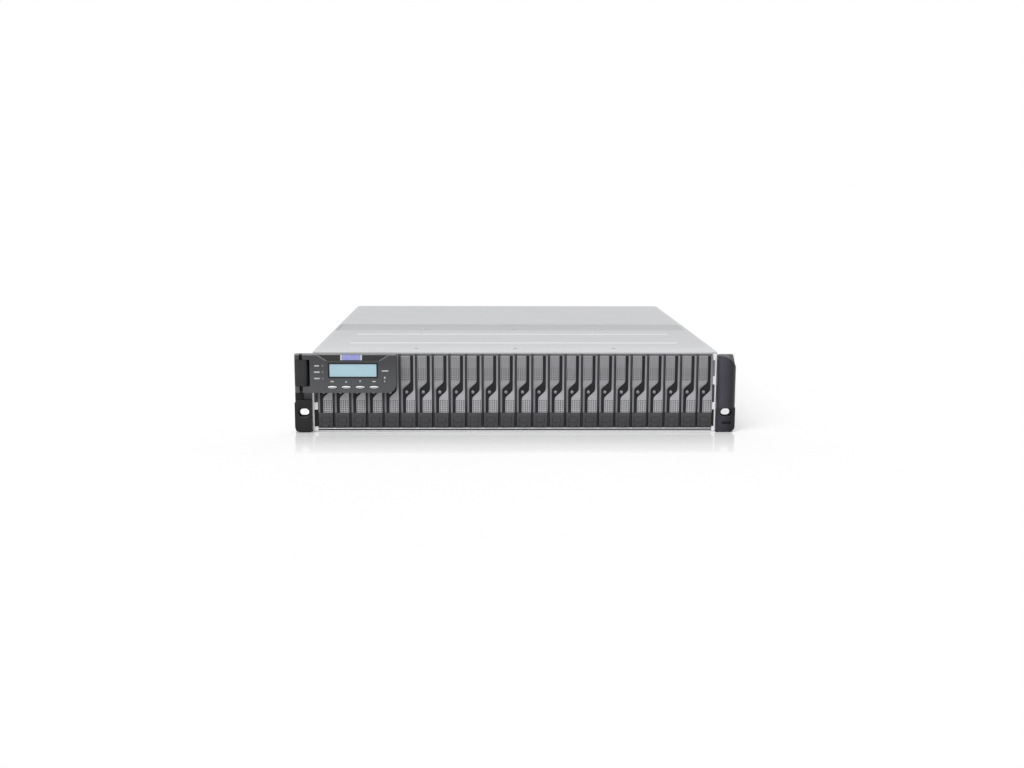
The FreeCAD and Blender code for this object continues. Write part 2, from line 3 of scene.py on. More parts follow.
import bmesh
import bpy
import numpy as np
from bpy.props import FloatProperty, FloatVectorProperty, IntProperty, PointerProperty
from mathutils import Matrix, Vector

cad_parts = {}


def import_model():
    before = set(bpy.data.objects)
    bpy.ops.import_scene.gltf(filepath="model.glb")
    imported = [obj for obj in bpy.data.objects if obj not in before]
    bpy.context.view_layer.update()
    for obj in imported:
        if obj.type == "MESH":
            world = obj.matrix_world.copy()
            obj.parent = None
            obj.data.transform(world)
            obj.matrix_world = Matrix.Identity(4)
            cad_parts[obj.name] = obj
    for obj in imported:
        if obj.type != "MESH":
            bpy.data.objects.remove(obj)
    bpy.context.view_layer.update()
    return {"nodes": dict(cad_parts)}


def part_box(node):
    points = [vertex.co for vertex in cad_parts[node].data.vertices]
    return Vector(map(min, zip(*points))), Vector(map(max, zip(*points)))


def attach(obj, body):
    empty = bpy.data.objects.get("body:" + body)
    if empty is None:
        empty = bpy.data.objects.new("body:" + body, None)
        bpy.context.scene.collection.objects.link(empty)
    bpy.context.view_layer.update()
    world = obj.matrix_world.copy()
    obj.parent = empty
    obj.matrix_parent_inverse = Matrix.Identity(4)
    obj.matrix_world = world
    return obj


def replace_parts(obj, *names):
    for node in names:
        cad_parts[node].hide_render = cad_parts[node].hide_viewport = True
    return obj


bl_info = {
    "name": "Storage array looks",
    "version": (1, 0, 0),
    "blender": (4, 5, 0),
    "location": "View3D > Sidebar > Storage array",
    "description": "Dresses the frame of a rack storage array with its finished surfaces",
    "category": "Object",
}

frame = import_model()
NODES = frame["nodes"]
MM = 0.001


def corner(node, high=False):
    """Lowest or highest corner of a frame node, in millimetres."""
    return np.array(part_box(node)[1 if high else 0]) / MM


def corners(node):
    """Lowest and highest corner of a frame node, in millimetres."""
    return corner(node), corner(node, True)


BAYS = 24
FIRST_OPEN_BAY = 6
FLAP_LOW, FLAP_HIGH = corners("tray_flap_06")
TRAY_LOW, TRAY_HIGH = corners("drive_tray_06")
DOOR_LOW, DOOR_HIGH = corners("lcd_door")
SCREEN_LOW, SCREEN_HIGH = corners("lcd_display")
HALF_BODY, BODY_BACK, COVER_TOP = corner("top_cover_rear", True)
BODY_FRONT = corner("drive_cage")[1]
STRIP_FACE = corner("chassis_base")[1]
BAY_PITCH = corner("tray_flap_07")[0] - FLAP_LOW[0]
TRAY_WIDTH = FLAP_HIGH[0] - FLAP_LOW[0]
SHEET = 1.2
FIT_GAP = 0.3
BAND_EDGE = HALF_BODY - 2 * SHEET - FIT_GAP
STRIP_WIDTH = 4.6
STRIP_INNER = HALF_BODY - SHEET - STRIP_WIDTH
RAIL_HEIGHT = 4.9
BLOCK_HEIGHT = 16.2
BEZEL_DEPTH = 14.5
ADAPTER_LENGTH = 14.0
EAR_BACK = 1.4
NECK_INSET = 10.0
LEVER_THICK = 5.0
HANDLE_REACH = 20.0
FLOOR_GLOSS = 140.0


def length(name, note, default):
    """Property for a length in millimetres."""
    return FloatProperty(name=name, description=note + ", mm", default=default)


def tint(name, note, default):
    """Property for a colour."""
    return FloatVectorProperty(name=name, description=note, subtype="COLOR", default=default)


class ArraySizes(bpy.types.PropertyGroup):
    """Sizes that a user would change, in millimetres."""
    hole: length("Hole", "Diameter of a hole in the flap mesh", 1.5)
    mesh_thick: length("Mesh thickness", "Thickness of the flap mesh", 0.6)
    edge: length("Edge", "Rounding of moulded edges", 0.5)
    key_crown: length("Key crown", "Rise of a key's face", 0.45)
    lock: length("Lock", "Diameter of a tray lock", 3.4)
    columns: IntProperty(name="Columns", description="Mesh holes across a flap panel", default=4)


class ArrayColours(bpy.types.PropertyGroup):
    """Colours that a user would change."""
    zinc: tint("Zinc sheet", "Body and covers", (0.64, 0.645, 0.655))
    ear: tint("Left ear", "Left rack-ear cover", (0.025, 0.025, 0.0265))
    panel: tint("Panel", "Control panel", (0.068, 0.069, 0.073))
    mesh: tint("Flap mesh", "Perforated flap panels", (0.36, 0.36, 0.378))
    channel: tint("Channel", "Black of the flaps", (0.014, 0.014, 0.016))
    block: tint("Release block", "Foot of each tray", (0.039, 0.039, 0.043))
    screen: tint("Screen", "Display", (0.3, 0.45, 0.52))
    key: tint("Keys", "Keys of the panel", (0.9, 0.92, 0.95))
    badge: tint("Badge", "Bare plate above the display", (0.06, 0.068, 0.34))


CLASSES = [ArraySizes, ArrayColours]


def listed(cls):
    """Keeps a class for registering, in the order of the file."""
    CLASSES.append(cls)
    return cls


def sizes():
    return bpy.context.scene.array_sizes


def colours():
    return bpy.context.scene.array_colours


# Outlines and solids

def bow(start, stop, radius, count):
    """Points along an arc from one angle to another: radius times cosine and sine."""
    turn = np.linspace(start, stop, count)
    return np.stack([np.cos(turn), np.sin(turn)], axis=1) * radius


def oblong(width, height, radius, steps=6):
    """Outline of a rectangle with round corners: four quarter circles joined by straight runs."""
    quarter = math.pi / 2
    reach = np.array([width / 2 - radius, height / 2 - radius])
    signs = ((1, 1), (-1, 1), (-1, -1), (1, -1))
    return np.concatenate([bow(turn * quarter, (turn + 1) * quarter, radius, steps) + reach * sign
                           for turn, sign in enumerate(signs)])


def ellipse(width, height, count, power=2.0):
    """Outline of an oval: a power over 2 raises cosine and sine to less than 1, which makes it squarer."""
    turn = np.arange(count) * 2 * math.pi / count
    wave = np.stack([np.cos(turn), np.sin(turn)], axis=1)
    return np.sign(wave) * np.abs(wave) ** (2.0 / power) * np.array([width / 2, height / 2])


def circle(radius, count=32):
    """Outline of a circle: points at even angles."""
    return ellipse(2 * radius, 2 * radius, count)


def shrunk(outline, inset):
    """An outline moved inwards along its normals."""
    along = np.roll(outline, -1, axis=0) - np.roll(outline, 1, axis=0)
    length = np.maximum(np.linalg.norm(along, axis=1, keepdims=True), 1e-9)
    normal = np.stack([-along[:, 1], along[:, 0]], axis=1) / length
    return outline + normal * inset


def lifted(outline, height):
    """An outline's points at a height."""
    return np.column_stack([outline, np.full(len(outline), float(height))])


def grid_faces(rows, columns, wrap=False, closed=False):
    """Quads between neighbours of a grid of points, joined round its columns if wrap, its rows if closed."""
    index = np.arange(rows * columns).reshape(rows, columns)
    if closed:
        index = np.concatenate([index, index[:1]])
    if wrap:
        index = np.concatenate([index, index[:, :1]], axis=1)
    quads = np.stack([index[:-1, :-1], index[:-1, 1:], index[1:, 1:], index[1:, :-1]], axis=-1)
    return quads.reshape(-1, 4).tolist()


BROW_HEIGHT = 7.0
BROW_DEPTH = 3.0
BROW_LENGTH = math.hypot(BROW_DEPTH, BROW_HEIGHT)
BROW_RISE = BROW_HEIGHT / BROW_LENGTH
BROW_FALL = BROW_DEPTH / BROW_LENGTH
FACINGS = {
    "front": np.array([[1, 0, 0], [0, 0, 1], [0, -1, 0]], float),
    "back": np.array([[-1, 0, 0], [0, 0, 1], [0, 1, 0]], float),
    "up": np.eye(3),
    "left": np.array([[0, -1, 0], [0, 0, 1], [-1, 0, 0]], float),
    "right": np.array([[0, 1, 0], [0, 0, 1], [1, 0, 0]], float),
    "brow": np.array([[1, 0, 0], [0, BROW_FALL, BROW_RISE], [0, -BROW_RISE, BROW_FALL]]),
}


def slab(outline, steps, place, facing="front"):
    """Solid of stacked outlines: each step is (inset, height), heights run out of the facing side."""
    count = len(outline)
    rings = [lifted(shrunk(outline, inset), height) for inset, height in steps]
    faces = grid_faces(len(steps), count, wrap=True)
    faces.append(list(range(count))[::-1])
    faces.append(list(range((len(steps) - 1) * count, len(steps) * count)))
    return np.concatenate(rings) @ FACINGS[facing] + np.asarray(place, float), faces


def plate(width, height, radius, thick, edge, place, facing="front"):
    """Flat plate with round corners and a rounded rim."""
    steps = ((0, 0), (0, thick - edge), (edge * 0.3, thick - edge * 0.3), (edge, thick))
    return slab(oblong(width, height, radius), steps, place, facing)


def rim(outer, inner, thick, place, facing="front"):
    """Flat rim between two outlines of as many points: four loops, closed all round."""
    loops = [lifted(*loop) for loop in ((outer, 0), (outer, thick), (inner, thick), (inner, 0))]
    points = np.concatenate(loops) @ FACINGS[facing] + np.asarray(place, float)
    return points, grid_faces(len(loops), len(outer), wrap=True, closed=True)


# Objects

SHARP_ANGLE = math.radians(35)
BEVEL_ANGLE = math.radians(40)
FLAT_ANGLE = math.radians(1)
MERGE_GAP = 0.002


def reworked(mesh, change):
    """Passes a mesh through bmesh for one change."""
    work = bmesh.new()
    work.from_mesh(mesh)
    change(work)
    work.to_mesh(mesh)
    work.free()
    return mesh


def outward(work):
    bmesh.ops.recalc_face_normals(work, faces=work.faces)


def frontward(work):
    """Turns every face of an open sheet so that it looks to the front."""
    work.normal_update()
    bmesh.ops.reverse_faces(work, faces=[face for face in work.faces if face.normal.y > 0])


def smoothed(work):
    """Smooth shading, with edges kept sharp where faces meet at a wide angle."""
    for face in work.faces:
        face.smooth = True
    for edge in work.edges:
        edge.smooth = len(edge.link_faces) == 2 and edge.calc_face_angle(0.0) < SHARP_ANGLE


def merged(work):
    """Merges points that coincide and faces that lie flat together."""
    bmesh.ops.remove_doubles(work, verts=work.verts, dist=MERGE_GAP * MM)
    bmesh.ops.dissolve_limit(work, angle_limit=FLAT_ANGLE, verts=work.verts, edges=work.edges)


def placed(name, mesh, body, kind):
    """An object at the origin with one finish, which rides on a body."""
    mesh.materials.clear()
    mesh.materials.append(shared(kind))
    piece = bpy.data.objects.new(name, mesh)
    bpy.context.collection.objects.link(piece)
    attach(piece, body)
    return piece


def put(name, pieces, body, kind, smooth=False, turn=outward):
    """Makes one object of (points, faces) pairs in millimetres and lets it ride on a body."""
    points = []
    faces = []
    count = 0
    for some_points, some_faces in pieces:
        points.append(np.asarray(some_points, float).reshape(-1, 3))
        faces += [[count + i for i in face] for face in some_faces]
        count += len(points[-1])
    mesh = bpy.data.meshes.new(name)
    mesh.from_pydata((np.concatenate(points) * MM).tolist(), [], faces)
    reworked(mesh, turn)
    if smooth:
        reworked(mesh, smoothed)
    return placed(name, mesh, body, kind)


def copied(node, name, width, kind, body, across=0.0):
    """A copy of a frame node, moved across, with edges rounded by a width, both in millimetres."""
    mesh = reworked(NODES[node].data.copy(), merged)
    mesh.transform(Matrix.Translation((across * MM, 0, 0)))
    piece = placed(name, mesh, body, kind)
    bevel = piece.modifiers.new("edges", "BEVEL")
    bevel.width = width * MM
    bevel.segments = 2
    bevel.limit_method = "ANGLE"
    bevel.angle_limit = BEVEL_ANGLE
    return piece


def softened(node, width, kind, body):
    """A copy of a frame node with rounded edges that takes its place."""
    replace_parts(copied(node, node + "_soft", width, kind, body), node)


def repaint(node, kind):
    """Gives a frame node one finish."""
    mesh = NODES[node].data
    mesh.materials.clear()
    mesh.materials.append(shared(kind))


# Finishes, with painted light and shade

GRAIN_DEPTH = 0.2


def wire(tree, value, socket):
    """Links a socket to another one, or gives it a constant."""
    if isinstance(value, bpy.types.NodeSocket):
        tree.links.new(value, socket)
    else:
        socket.default_value = value


def add(tree, kind, inputs, output=0, **settings):
    """Adds a shader node with its settings, wires its inputs and returns one of its outputs."""
    node = tree.nodes.new("ShaderNode" + kind)
    for name, value in settings.items():
        setattr(node, name, value)
    for name, value in inputs.items():
        wire(tree, value, node.inputs[name])
    return node.outputs[output]


def noise(tree, scale, detail):
    place = add(tree, "TexCoord", {}, "Object")
    return add(tree, "TexNoise", {"Vector": place, "Scale": scale, "Detail": detail})


def ramp(tree, source, *stops):
    """Colour ramp whose stops are (position, colour)."""
    node = tree.nodes.new("ShaderNodeValToRGB")
    items = node.color_ramp.elements
    while len(items) < len(stops):
        items.new(0.5)
    for item, (position, colour) in zip(items, stops):
        item.position = position
        item.color = (*colour, 1.0)
    tree.links.new(source, node.inputs["Fac"])
    return node.outputs["Color"]


def greys(tree, source, *tones):
    """Colour ramp of grey tones, each given as (position, tone)."""
    return ramp(tree, source, *[(position, (tone,) * 3) for position, tone in tones])


def maths(tree, operation, *values):
    """Math node on sockets and constants."""
    return add(tree, "Math", dict(enumerate(values)), operation=operation)


def coordinate(tree, axis):
    """One Object coordinate in metres, or its distance from the middle where the axis is in bars, as |X|."""
    place = add(tree, "TexCoord", {}, "Object")
    value = add(tree, "SeparateXYZ", {"Vector": place}, axis.strip("|"))
    return maths(tree, "ABSOLUTE", value) if "|" in axis else value


def beyond(tree, axis, limit):
    """1 where a coordinate is over a limit in millimetres."""
    return maths(tree, "GREATER_THAN", coordinate(tree, axis), limit * MM)


def span(tree, axis, low, high):
    """Share of the way from low to high along an axis, both in millimetres."""
    place = coordinate(tree, axis)
    return add(tree, "MapRange", {"Value": place, "From Min": low * MM, "From Max": high * MM})


def mixed(tree, mask, first, second, blend="MIX"):
    """Colour that is the first where the mask is 0, and the second or their blend where it is 1."""
    pair = [(*value, 1.0) if isinstance(value, tuple) else value for value in (first, second)]
    return add(tree, "Mix", {"Factor": mask, "A": pair[0], "B": pair[1]}, "Result", data_type="RGBA",
               blend_type=blend)


def recoloured(material, mask, colour, blend="MIX"):
    """Gives a material another colour, or a blend of its own with that, where the mask is 1."""
    tree = material.node_tree
    base = tree.nodes["Principled BSDF"].inputs["Base Color"]
    wire(tree, mixed(tree, mask, base.links[0].from_socket, colour, blend), base)
    return material


def graded(material, axis, low, high, *tones):
    """Multiplies a material's colour by grey tones along an axis from low to high, each as (share, tone)."""
    tree = material.node_tree
    return recoloured(material, 1.0, greys(tree, span(tree, axis, low, high), *tones), "MULTIPLY")


def finish(name, colour, rough, metal=0.0, mottle=0.06, mottle_scale=40.0, grain=0.0, grain_scale=1500.0,
           rough_spread=0.08, coat=0.0, specular=0.5):
    """Principled surface with mottled colour, uneven gloss and a fine grain, all on Object coordinates.

    The colour is given as numbers or as the name of one that a user would change."""
    if isinstance(colour, str):
        colour = getattr(colours(), colour)
    material = bpy.data.materials.new(name)
    material.use_nodes = True
    tree = material.node_tree
    cloud = noise(tree, mottle_scale, detail=4.0)
    dark = [part * (1 - mottle) for part in colour]
    light = [min(1.0, part * (1 + mottle)) for part in colour]
    look = {
        "Metallic": metal,
        "Coat Weight": coat,
        "Specular IOR Level": specular,
        "Base Color": ramp(tree, cloud, (0.3, dark), (0.7, light)),
        "Roughness": add(tree, "MapRange", {"Value": cloud, "To Min": max(0.02, rough - rough_spread),
                                            "To Max": min(1.0, rough + rough_spread)}),
    }
    if grain:
        look["Normal"] = add(tree, "Bump", {"Strength": grain, "Distance": GRAIN_DEPTH * MM,
                                            "Height": noise(tree, grain_scale, detail=2.0)})
    for socket, value in look.items():
        wire(tree, value, tree.nodes["Principled BSDF"].inputs[socket])
    return material


FINISHES = {
    "zinc_sheet": dict(colour="zinc", rough=0.55, mottle=0.025, mottle_scale=18, grain=0.05, grain_scale=900,
                       rough_spread=0.06, specular=0.2),
    "channel_black": dict(colour="channel", rough=0.42, mottle=0.15, grain=0.08, grain_scale=2600,
                          specular=0.15),
    "block_plastic": dict(colour="block", rough=0.5, mottle=0.12, grain=0.15, grain_scale=2400,
                          specular=0.35),
    "lock_steel": dict(colour=(0.36, 0.36, 0.37), rough=0.34, metal=0.9, mottle=0.1, mottle_scale=300),
    "lock_grey": dict(colour=(0.27, 0.27, 0.28), rough=0.4, metal=0.3, mottle=0.1, mottle_scale=300,
                      specular=0.3),
    "key_white": dict(colour="key", rough=0.32, mottle=0.03, mottle_scale=200, coat=0.2),
    "mark_white": dict(colour=(0.44, 0.45, 0.46), rough=0.6, mottle=0.05, mottle_scale=600, specular=0.2),
    "badge_blue": dict(colour="badge", rough=0.25, mottle=0.12, mottle_scale=120, coat=0.5),
    # Flat dark marks: the own colour of dark parts, and painted shade where they stand in for holes, slots
    # and grooves.
    "dark_recess": dict(colour=(0.012, 0.012, 0.014), rough=0.6, mottle=0.2, mottle_scale=200, specular=0.1),
    "brow_black": dict(colour=(0.016, 0.015, 0.017), rough=0.45, mottle=0.15, mottle_scale=200,
                       specular=0.15),
    "brow_grey": dict(colour=(0.15, 0.15, 0.155), rough=0.5, mottle=0.08, mottle_scale=200, specular=0.3),
    "lamp_grey": dict(colour=(0.14, 0.14, 0.15), rough=0.3, mottle=0.1, mottle_scale=400, coat=0.4),
    "lamp_green": dict(colour=(0.08, 0.3, 0.1), rough=0.25, mottle=0.08, mottle_scale=400, coat=0.5),
    "pin_black": dict(colour=(0.02, 0.02, 0.022), rough=0.4, metal=0.4, mottle=0.15, mottle_scale=300,
                      specular=0.2),
    "fan_black": dict(colour=(0.02, 0.02, 0.022), rough=0.35, mottle=0.1, grain=0.05, grain_scale=2000,
                      specular=0.4),
    "board_green": dict(colour=(0.015, 0.1, 0.045), rough=0.4, mottle=0.15, mottle_scale=300),
    "contact_gold": dict(colour=(0.72, 0.5, 0.2), rough=0.28, metal=1.0, mottle=0.06, mottle_scale=500),
    "drive_metal": dict(colour=(0.4, 0.405, 0.415), rough=0.4, metal=0.3, mottle=0.04, mottle_scale=60,
                        specular=0.3),
}
MATERIALS = {}


def shared(kind):
    """One material per plain finish, or per maker of a graded one, made when it is first asked for."""
    if kind not in MATERIALS:
        MATERIALS[kind] = kind() if callable(kind) else finish(kind, **FINISHES[kind])
    return MATERIALS[kind]


def cover_zinc():
    """Plated covers with painted light: painted shade that dulls them to the back and in the sunk band, and
    painted highlights on the band's rims and along the beads.
    """
    material = finish("cover_zinc", **FINISHES["zinc_sheet"])
    tree = material.node_tree
    # Painted shade: darker towards the back and in the sunk band, with a narrow painted highlight on the
    # step behind the band.
    graded(material, "Y", BODY_FRONT, BODY_BACK, (0.0, 0.99), (0.12, 0.88), (0.385, 0.83), (0.395, 0.79),
           (0.42, 0.78), (0.428, 0.71), (0.5285, 0.71), (0.5295, 1.0), (0.5312, 1.0), (0.5325, 0.84),
           (1.0, 0.83))
    # Painted highlight on the inner faces of the band's rims, which lie in shade.
    inner = beyond(tree, "|X|", BAND_EDGE - 0.1)
    outer = beyond(tree, "|X|", BAND_EDGE + 0.2)
    recoloured(material, maths(tree, "SUBTRACT", inner, outer), (0.78, 0.785, 0.795))
    # Painted highlight along the crests of the beads.
    return recoloured(material, beyond(tree, "Z", COVER_TOP + 0.15), (0.72, 0.725, 0.735))


def chassis_zinc():
    """Plated body whose narrow front strips are brighter: a painted highlight."""
    material = finish("chassis_zinc", **FINISHES["zinc_sheet"])
    tree = material.node_tree
    rear = beyond(tree, "Y", STRIP_FACE + SHEET + 0.1)
    strips = maths(tree, "GREATER_THAN", beyond(tree, "|X|", STRIP_INNER - 0.1), rear)
    # Painted highlight on the narrow front strips.
    return recoloured(material, strips, (0.85, 0.855, 0.865))


def module_metal(name, limit):
    """Zinc module with dark plastic levers or a handle behind a depth in millimetres."""
    material = finish(name, "zinc", 0.52, mottle=0.03, mottle_scale=18, grain=0.05, specular=0.2)
    tree = material.node_tree
    mask = beyond(tree, "Y", limit + 0.05)
    gloss = tree.nodes["Principled BSDF"].inputs["Roughness"]
    plain = gloss.links[0].from_socket
    wire(tree, add(tree, "Mix", {"Factor": mask, "A": plain, "B": 0.45}, "Result"), gloss)
    return recoloured(material, mask, (0.03, 0.03, 0.033))


def controller_metal():
    return module_metal("controller_metal", corner("controller_lower", True)[1] - LEVER_THICK)


def supply_metal():
    return module_metal("supply_metal", corner("psu_left", True)[1] - HANDLE_REACH)


def ear_plastic(node, colour, back):
    """Moulded ear cover whose back plate has a tone of its own: painted shade on the left ear, a lighter
    grey on the right.
    """
    material = finish(node + "_plastic", colour, 0.4, mottle=0.1, grain=0.1, grain_scale=2600, specular=0.2)
    return recoloured(material, beyond(material.node_tree, "Y", corner(node, True)[1] - EAR_BACK), back)


def left_ear_plastic():
    """The left cover has painted light: painted shade in its notch and below, at its foot, and a painted
    highlight on its neck.
    """
    # Painted shade: a near-black back plate in the notch.
    material = ear_plastic("left_ear", "ear", (0.012, 0.012, 0.013))
    tree = material.node_tree
    low, high = corners("left_ear")
    back = beyond(tree, "Y", high[1] - EAR_BACK)
    neck = maths(tree, "MULTIPLY", back, beyond(tree, "X", low[0] + NECK_INSET))
    # Painted highlight on the neck, which lies in the notch's shade.
    recoloured(material, neck, (0.12, 0.12, 0.125))
    # Painted shade below, at the foot.
    return graded(material, "Z", low[2], high[2], (0.0, 0.5), (0.4, 0.55), (0.5, 1.0), (1.0, 1.0))


def right_ear_plastic():
    """The right cover has painted light: a painted highlight along the left of its grip and painted shade at
    the right and at its foot.
    """
    material = ear_plastic("right_ear", (0.05, 0.05, 0.062), (0.3, 0.3, 0.305))
    low, high = corners("right_ear")
    # Painted shade at the foot.
    graded(material, "Z", low[2], high[2], (0.0, 0.6), (0.26, 0.7), (0.3, 1.0), (1.0, 1.0))
    # Painted highlight on the left of the grip, painted shade on its right.
    return graded(material, "X", low[0], high[0], (0.0, 0.6), (0.2, 1.0), (0.45, 0.8), (0.75, 0.4),
                  (1.0, 0.45))


def panel_plastic():
    """The panel's face is lighter towards its foot, and its top edge has a painted highlight."""
    material = finish("panel_plastic", "panel", 0.5, mottle=0.08, grain=0.15, grain_scale=2600,
                      specular=0.35)
    graded(material, "Z", DOOR_LOW[2], DOOR_HIGH[2], (0.0, 1.0), (0.4, 0.85), (0.8, 0.6), (1.0, 0.6))
    # Painted highlight along the top edge.
    return recoloured(material, beyond(material.node_tree, "Z", DOOR_HIGH[2] - 0.9), (0.17, 0.17, 0.172))


def screen_glow():
    """Pale reflective display under a clear glossy front."""
    material = finish("screen_glow", "screen", 0.22, mottle=0.03, mottle_scale=60, coat=0.6)
    shader = material.node_tree.nodes["Principled BSDF"]
    shader.inputs["Emission Color"].default_value = (*colours().screen, 1.0)
    shader.inputs["Emission Strength"].default_value = 0.12
    return material


def mesh_paint_and_light(name, *tones):
    """Grey painted sheet with painted light: its tone changes from the flap's top to its foot."""
    material = finish(name, "mesh", 0.42, metal=0.1, mottle_scale=120, grain=0.06, specular=0.35)
    return graded(material, "Z", FLAP_HIGH[2], FLAP_LOW[2], *tones)


def left_paint():
    # Painted shade on the narrow strip below the bend.
    return mesh_paint_and_light("left_paint", (0.0, 0.64), (0.5, 0.72), (0.6, 0.46), (1.0, 0.44))


def right_paint():
    # Painted light: the lower panel is brighter, where the floor's light falls.
    return mesh_paint_and_light("right_paint", (0.0, 0.58), (0.52, 0.64), (0.64, 0.92), (1.0, 1.0))


def divider_paint():
    """Dark paint of the dividers, with painted shade that makes them darkest beside the release blocks."""
    material = finish("divider_paint", (0.075, 0.075, 0.08), 0.5, mottle=0.08, mottle_scale=90,
                      specular=0.25)
    # Painted shade low down, beside the release blocks.
    return graded(material, "Z", TRAY_LOW[2], TRAY_HIGH[2], (0.0, 0.3), (0.2, 0.4), (0.35, 0.9), (1.0, 1.0))


def fillet_paint():
    """Painted shade for the dark plates behind the strips' windows, lightest at the top."""
    material = finish("fillet_paint", (0.28, 0.28, 0.285), 0.5, mottle=0.1, mottle_scale=200, specular=0.2)
    # Painted shade: darkest behind the lowest windows.
    return graded(material, "Z", 0.0, COVER_TOP, (0.3, 0.06), (0.35, 0.25), (0.62, 0.25), (0.68, 1.0))


def tray_finish():
    """Dark bezel in front, with painted shade low on its release block, plated rails, a cast drive between
    them and a green adapter board behind.
    """
    material = finish("tray_finish", "block", 0.45, mottle=0.1, grain=0.12, grain_scale=2400)
    tree = material.node_tree
    # Painted shade on the release block, darker towards its foot.
    graded(material, "Z", TRAY_LOW[2], TRAY_LOW[2] + BLOCK_HEIGHT, (0.0, 0.6), (0.4, 0.62), (1.0, 1.0))
    recoloured(material, beyond(tree, "Z", TRAY_HIGH[2] - 1.0), (0.12, 0.12, 0.125))
    above = beyond(tree, "Z", TRAY_LOW[2] + RAIL_HEIGHT + 0.05)
    top = beyond(tree, "Z", TRAY_HIGH[2] - RAIL_HEIGHT - 0.05)
    between = maths(tree, "SUBTRACT", above, top)
    steel = mixed(tree, between, (0.5, 0.505, 0.52), (0.23, 0.235, 0.245))
    board = maths(tree, "MULTIPLY", beyond(tree, "Y", TRAY_HIGH[1] - ADAPTER_LENGTH - 0.05), between)
    inside = mixed(tree, board, steel, (0.015, 0.1, 0.045))
    return recoloured(material, beyond(tree, "Y", TRAY_LOW[1] + BEZEL_DEPTH), inside)


def floor_white():
    """White floor whose gloss fades with the distance from the array's foot."""
    material = finish("floor_white", (0.96, 0.96, 0.962), 0.1, mottle=0.003, mottle_scale=2.0,
                      rough_spread=0.03)
    tree = material.node_tree
    away = maths(tree, "MAXIMUM", span(tree, "|X|", HALF_BODY, HALF_BODY + FLOOR_GLOSS),
                 span(tree, "|Y|", -STRIP_FACE, -STRIP_FACE + FLOOR_GLOSS))
    gloss = greys(tree, away, (0.0, 0.6), (0.25, 0.22), (0.5, 0.05), (0.8, 0.0))
    tree.links.new(gloss, tree.nodes["Principled BSDF"].inputs["Specular IOR Level"])
    return material


# Body

RACK_SLOT = (10.0, 7.0)
SLOT_OPENING = (12.8, 9.8)
SLOT_INSET = 9.75
SLOT_UP = 21.4
STRIP_WINDOWS = ((61.0, 79.0), (32.0, 52.0), (5.0, 24.0))
RIVET_PLACES = (18.0, 128.0, 216.0, 320.0, 420.0, 486.0)
RIVET_HEIGHTS = (14.0, 72.0)
SCREW_RADIUS = 3.0
STUD_DEPTH = 27.0
STUD_PITCH = 111.0


def strip_backs():
    """Dark plates behind the windows at both ends of the row of trays: painted shade where the windows look
    into the dark.
    """
    front = STRIP_FACE + SHEET + 0.35
    pieces = []
    for side, notch in ((-1, 4.0), (1, 2.4)):
        x = side * (STRIP_INNER + notch / 2)
        for low, high in STRIP_WINDOWS:
            pieces.append(plate(notch, high - low, 0.1, 0.3, 0.1, (x, front, (low + high) / 2)))
    # Dark plates stand in for the shade behind each window.
    put("strip_backs", pieces, "chassis", fillet_paint)


def slot_rings():
    """Dark rings round the rack slots, on the flanges inside the ears' openings: painted shade in the
    recesses behind the covers.
    """
    rings = []
    for node, high, side in (("left_ear", False, 1), ("right_ear", True, -1)):
        place = (corner(node, high)[0] + side * SLOT_INSET, corner(node, True)[1], SLOT_UP)
        outer, inner = (oblong(*shape, shape[1] / 2) for shape in (SLOT_OPENING, RACK_SLOT))
        rings.append(rim(outer, inner, 0.2, place))
    # Painted shade round each slot.
    put("slot_rings", rings, "chassis", "channel_black")


def sill_trim():
    """Thin dark strip along the groove in the sill: a painted shadow line."""
    # Painted shadow along the groove.
    shadow_strip = plate(2 * STRIP_INNER, 1.5, 0.2, 0.12, 0.04, (0.0, STRIP_FACE + 0.05, SHEET + 0.4))
    put("sill_trim", [shadow_strip], "chassis", "channel_black")


def side_rivets():
    """Flush rivets along both sides, in two rows."""
    steps = ((0, -0.05), (0, 0.1), (0.5, 0.35), (1.3, 0.5))
    heads = [slab(circle(2.4, 24), steps, (x, BODY_FRONT + along, z), facing)
             for facing, x in (("left", -HALF_BODY), ("right", HALF_BODY))
             for along in RIVET_PLACES for z in RIVET_HEIGHTS]
    put("side_rivets", heads, "chassis", "lock_steel", smooth=True)


def cover_screws():
    """Low domed heads with a cross groove, each in a shallow dish of the band; the groove and the dish are
    flat darker marks of painted shade.
    """
    low, high = corners("cover_screws")
    heads, groove_shades, dish_shades = [], [], []
    for x in np.linspace(low[0] + SCREW_RADIUS, high[0] - SCREW_RADIUS, 3):
        place = np.array([x, (low[1] + high[1]) / 2, low[2]])
        heads.append(slab(circle(SCREW_RADIUS), ((0, 0), (0, 0.5), (0.4, 0.85), (1.2, 1.0)), place, "up"))
        groove_shades += [plate(width, height, 0.25, 0.05, 0.02, place + (0, 0, 0.98), "up")
                    for width, height in ((3.0, 0.7), (0.7, 3.0))]
        dish_shades.append(rim(circle(SCREW_RADIUS + 2.0), circle(SCREW_RADIUS - 0.2), 0.06, place, "up"))
    screws = put("cover_screw_heads", heads, "chassis", "zinc_sheet", smooth=True)
    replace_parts(screws, "cover_screws")
    # Painted shade in the cross grooves.
    put("cover_screw_grooves", groove_shades, "chassis", "dark_recess")
    # Painted shade of the dishes round the heads.
    put("cover_screw_dishes", dish_shades, "chassis", "lock_grey")


def cover_studs():
    """Low studs along the front of the cover."""
    steps = ((0, -0.05), (0, 0.1), (0.5, 0.3), (1.2, 0.4))
    studs = [slab(circle(2.2, 24), steps, (side * STUD_PITCH, BODY_FRONT + STUD_DEPTH, COVER_TOP), "up")
             for side in (-1, 0, 1)]
    put("cover_studs", studs, "chassis", "lock_grey", smooth=True)


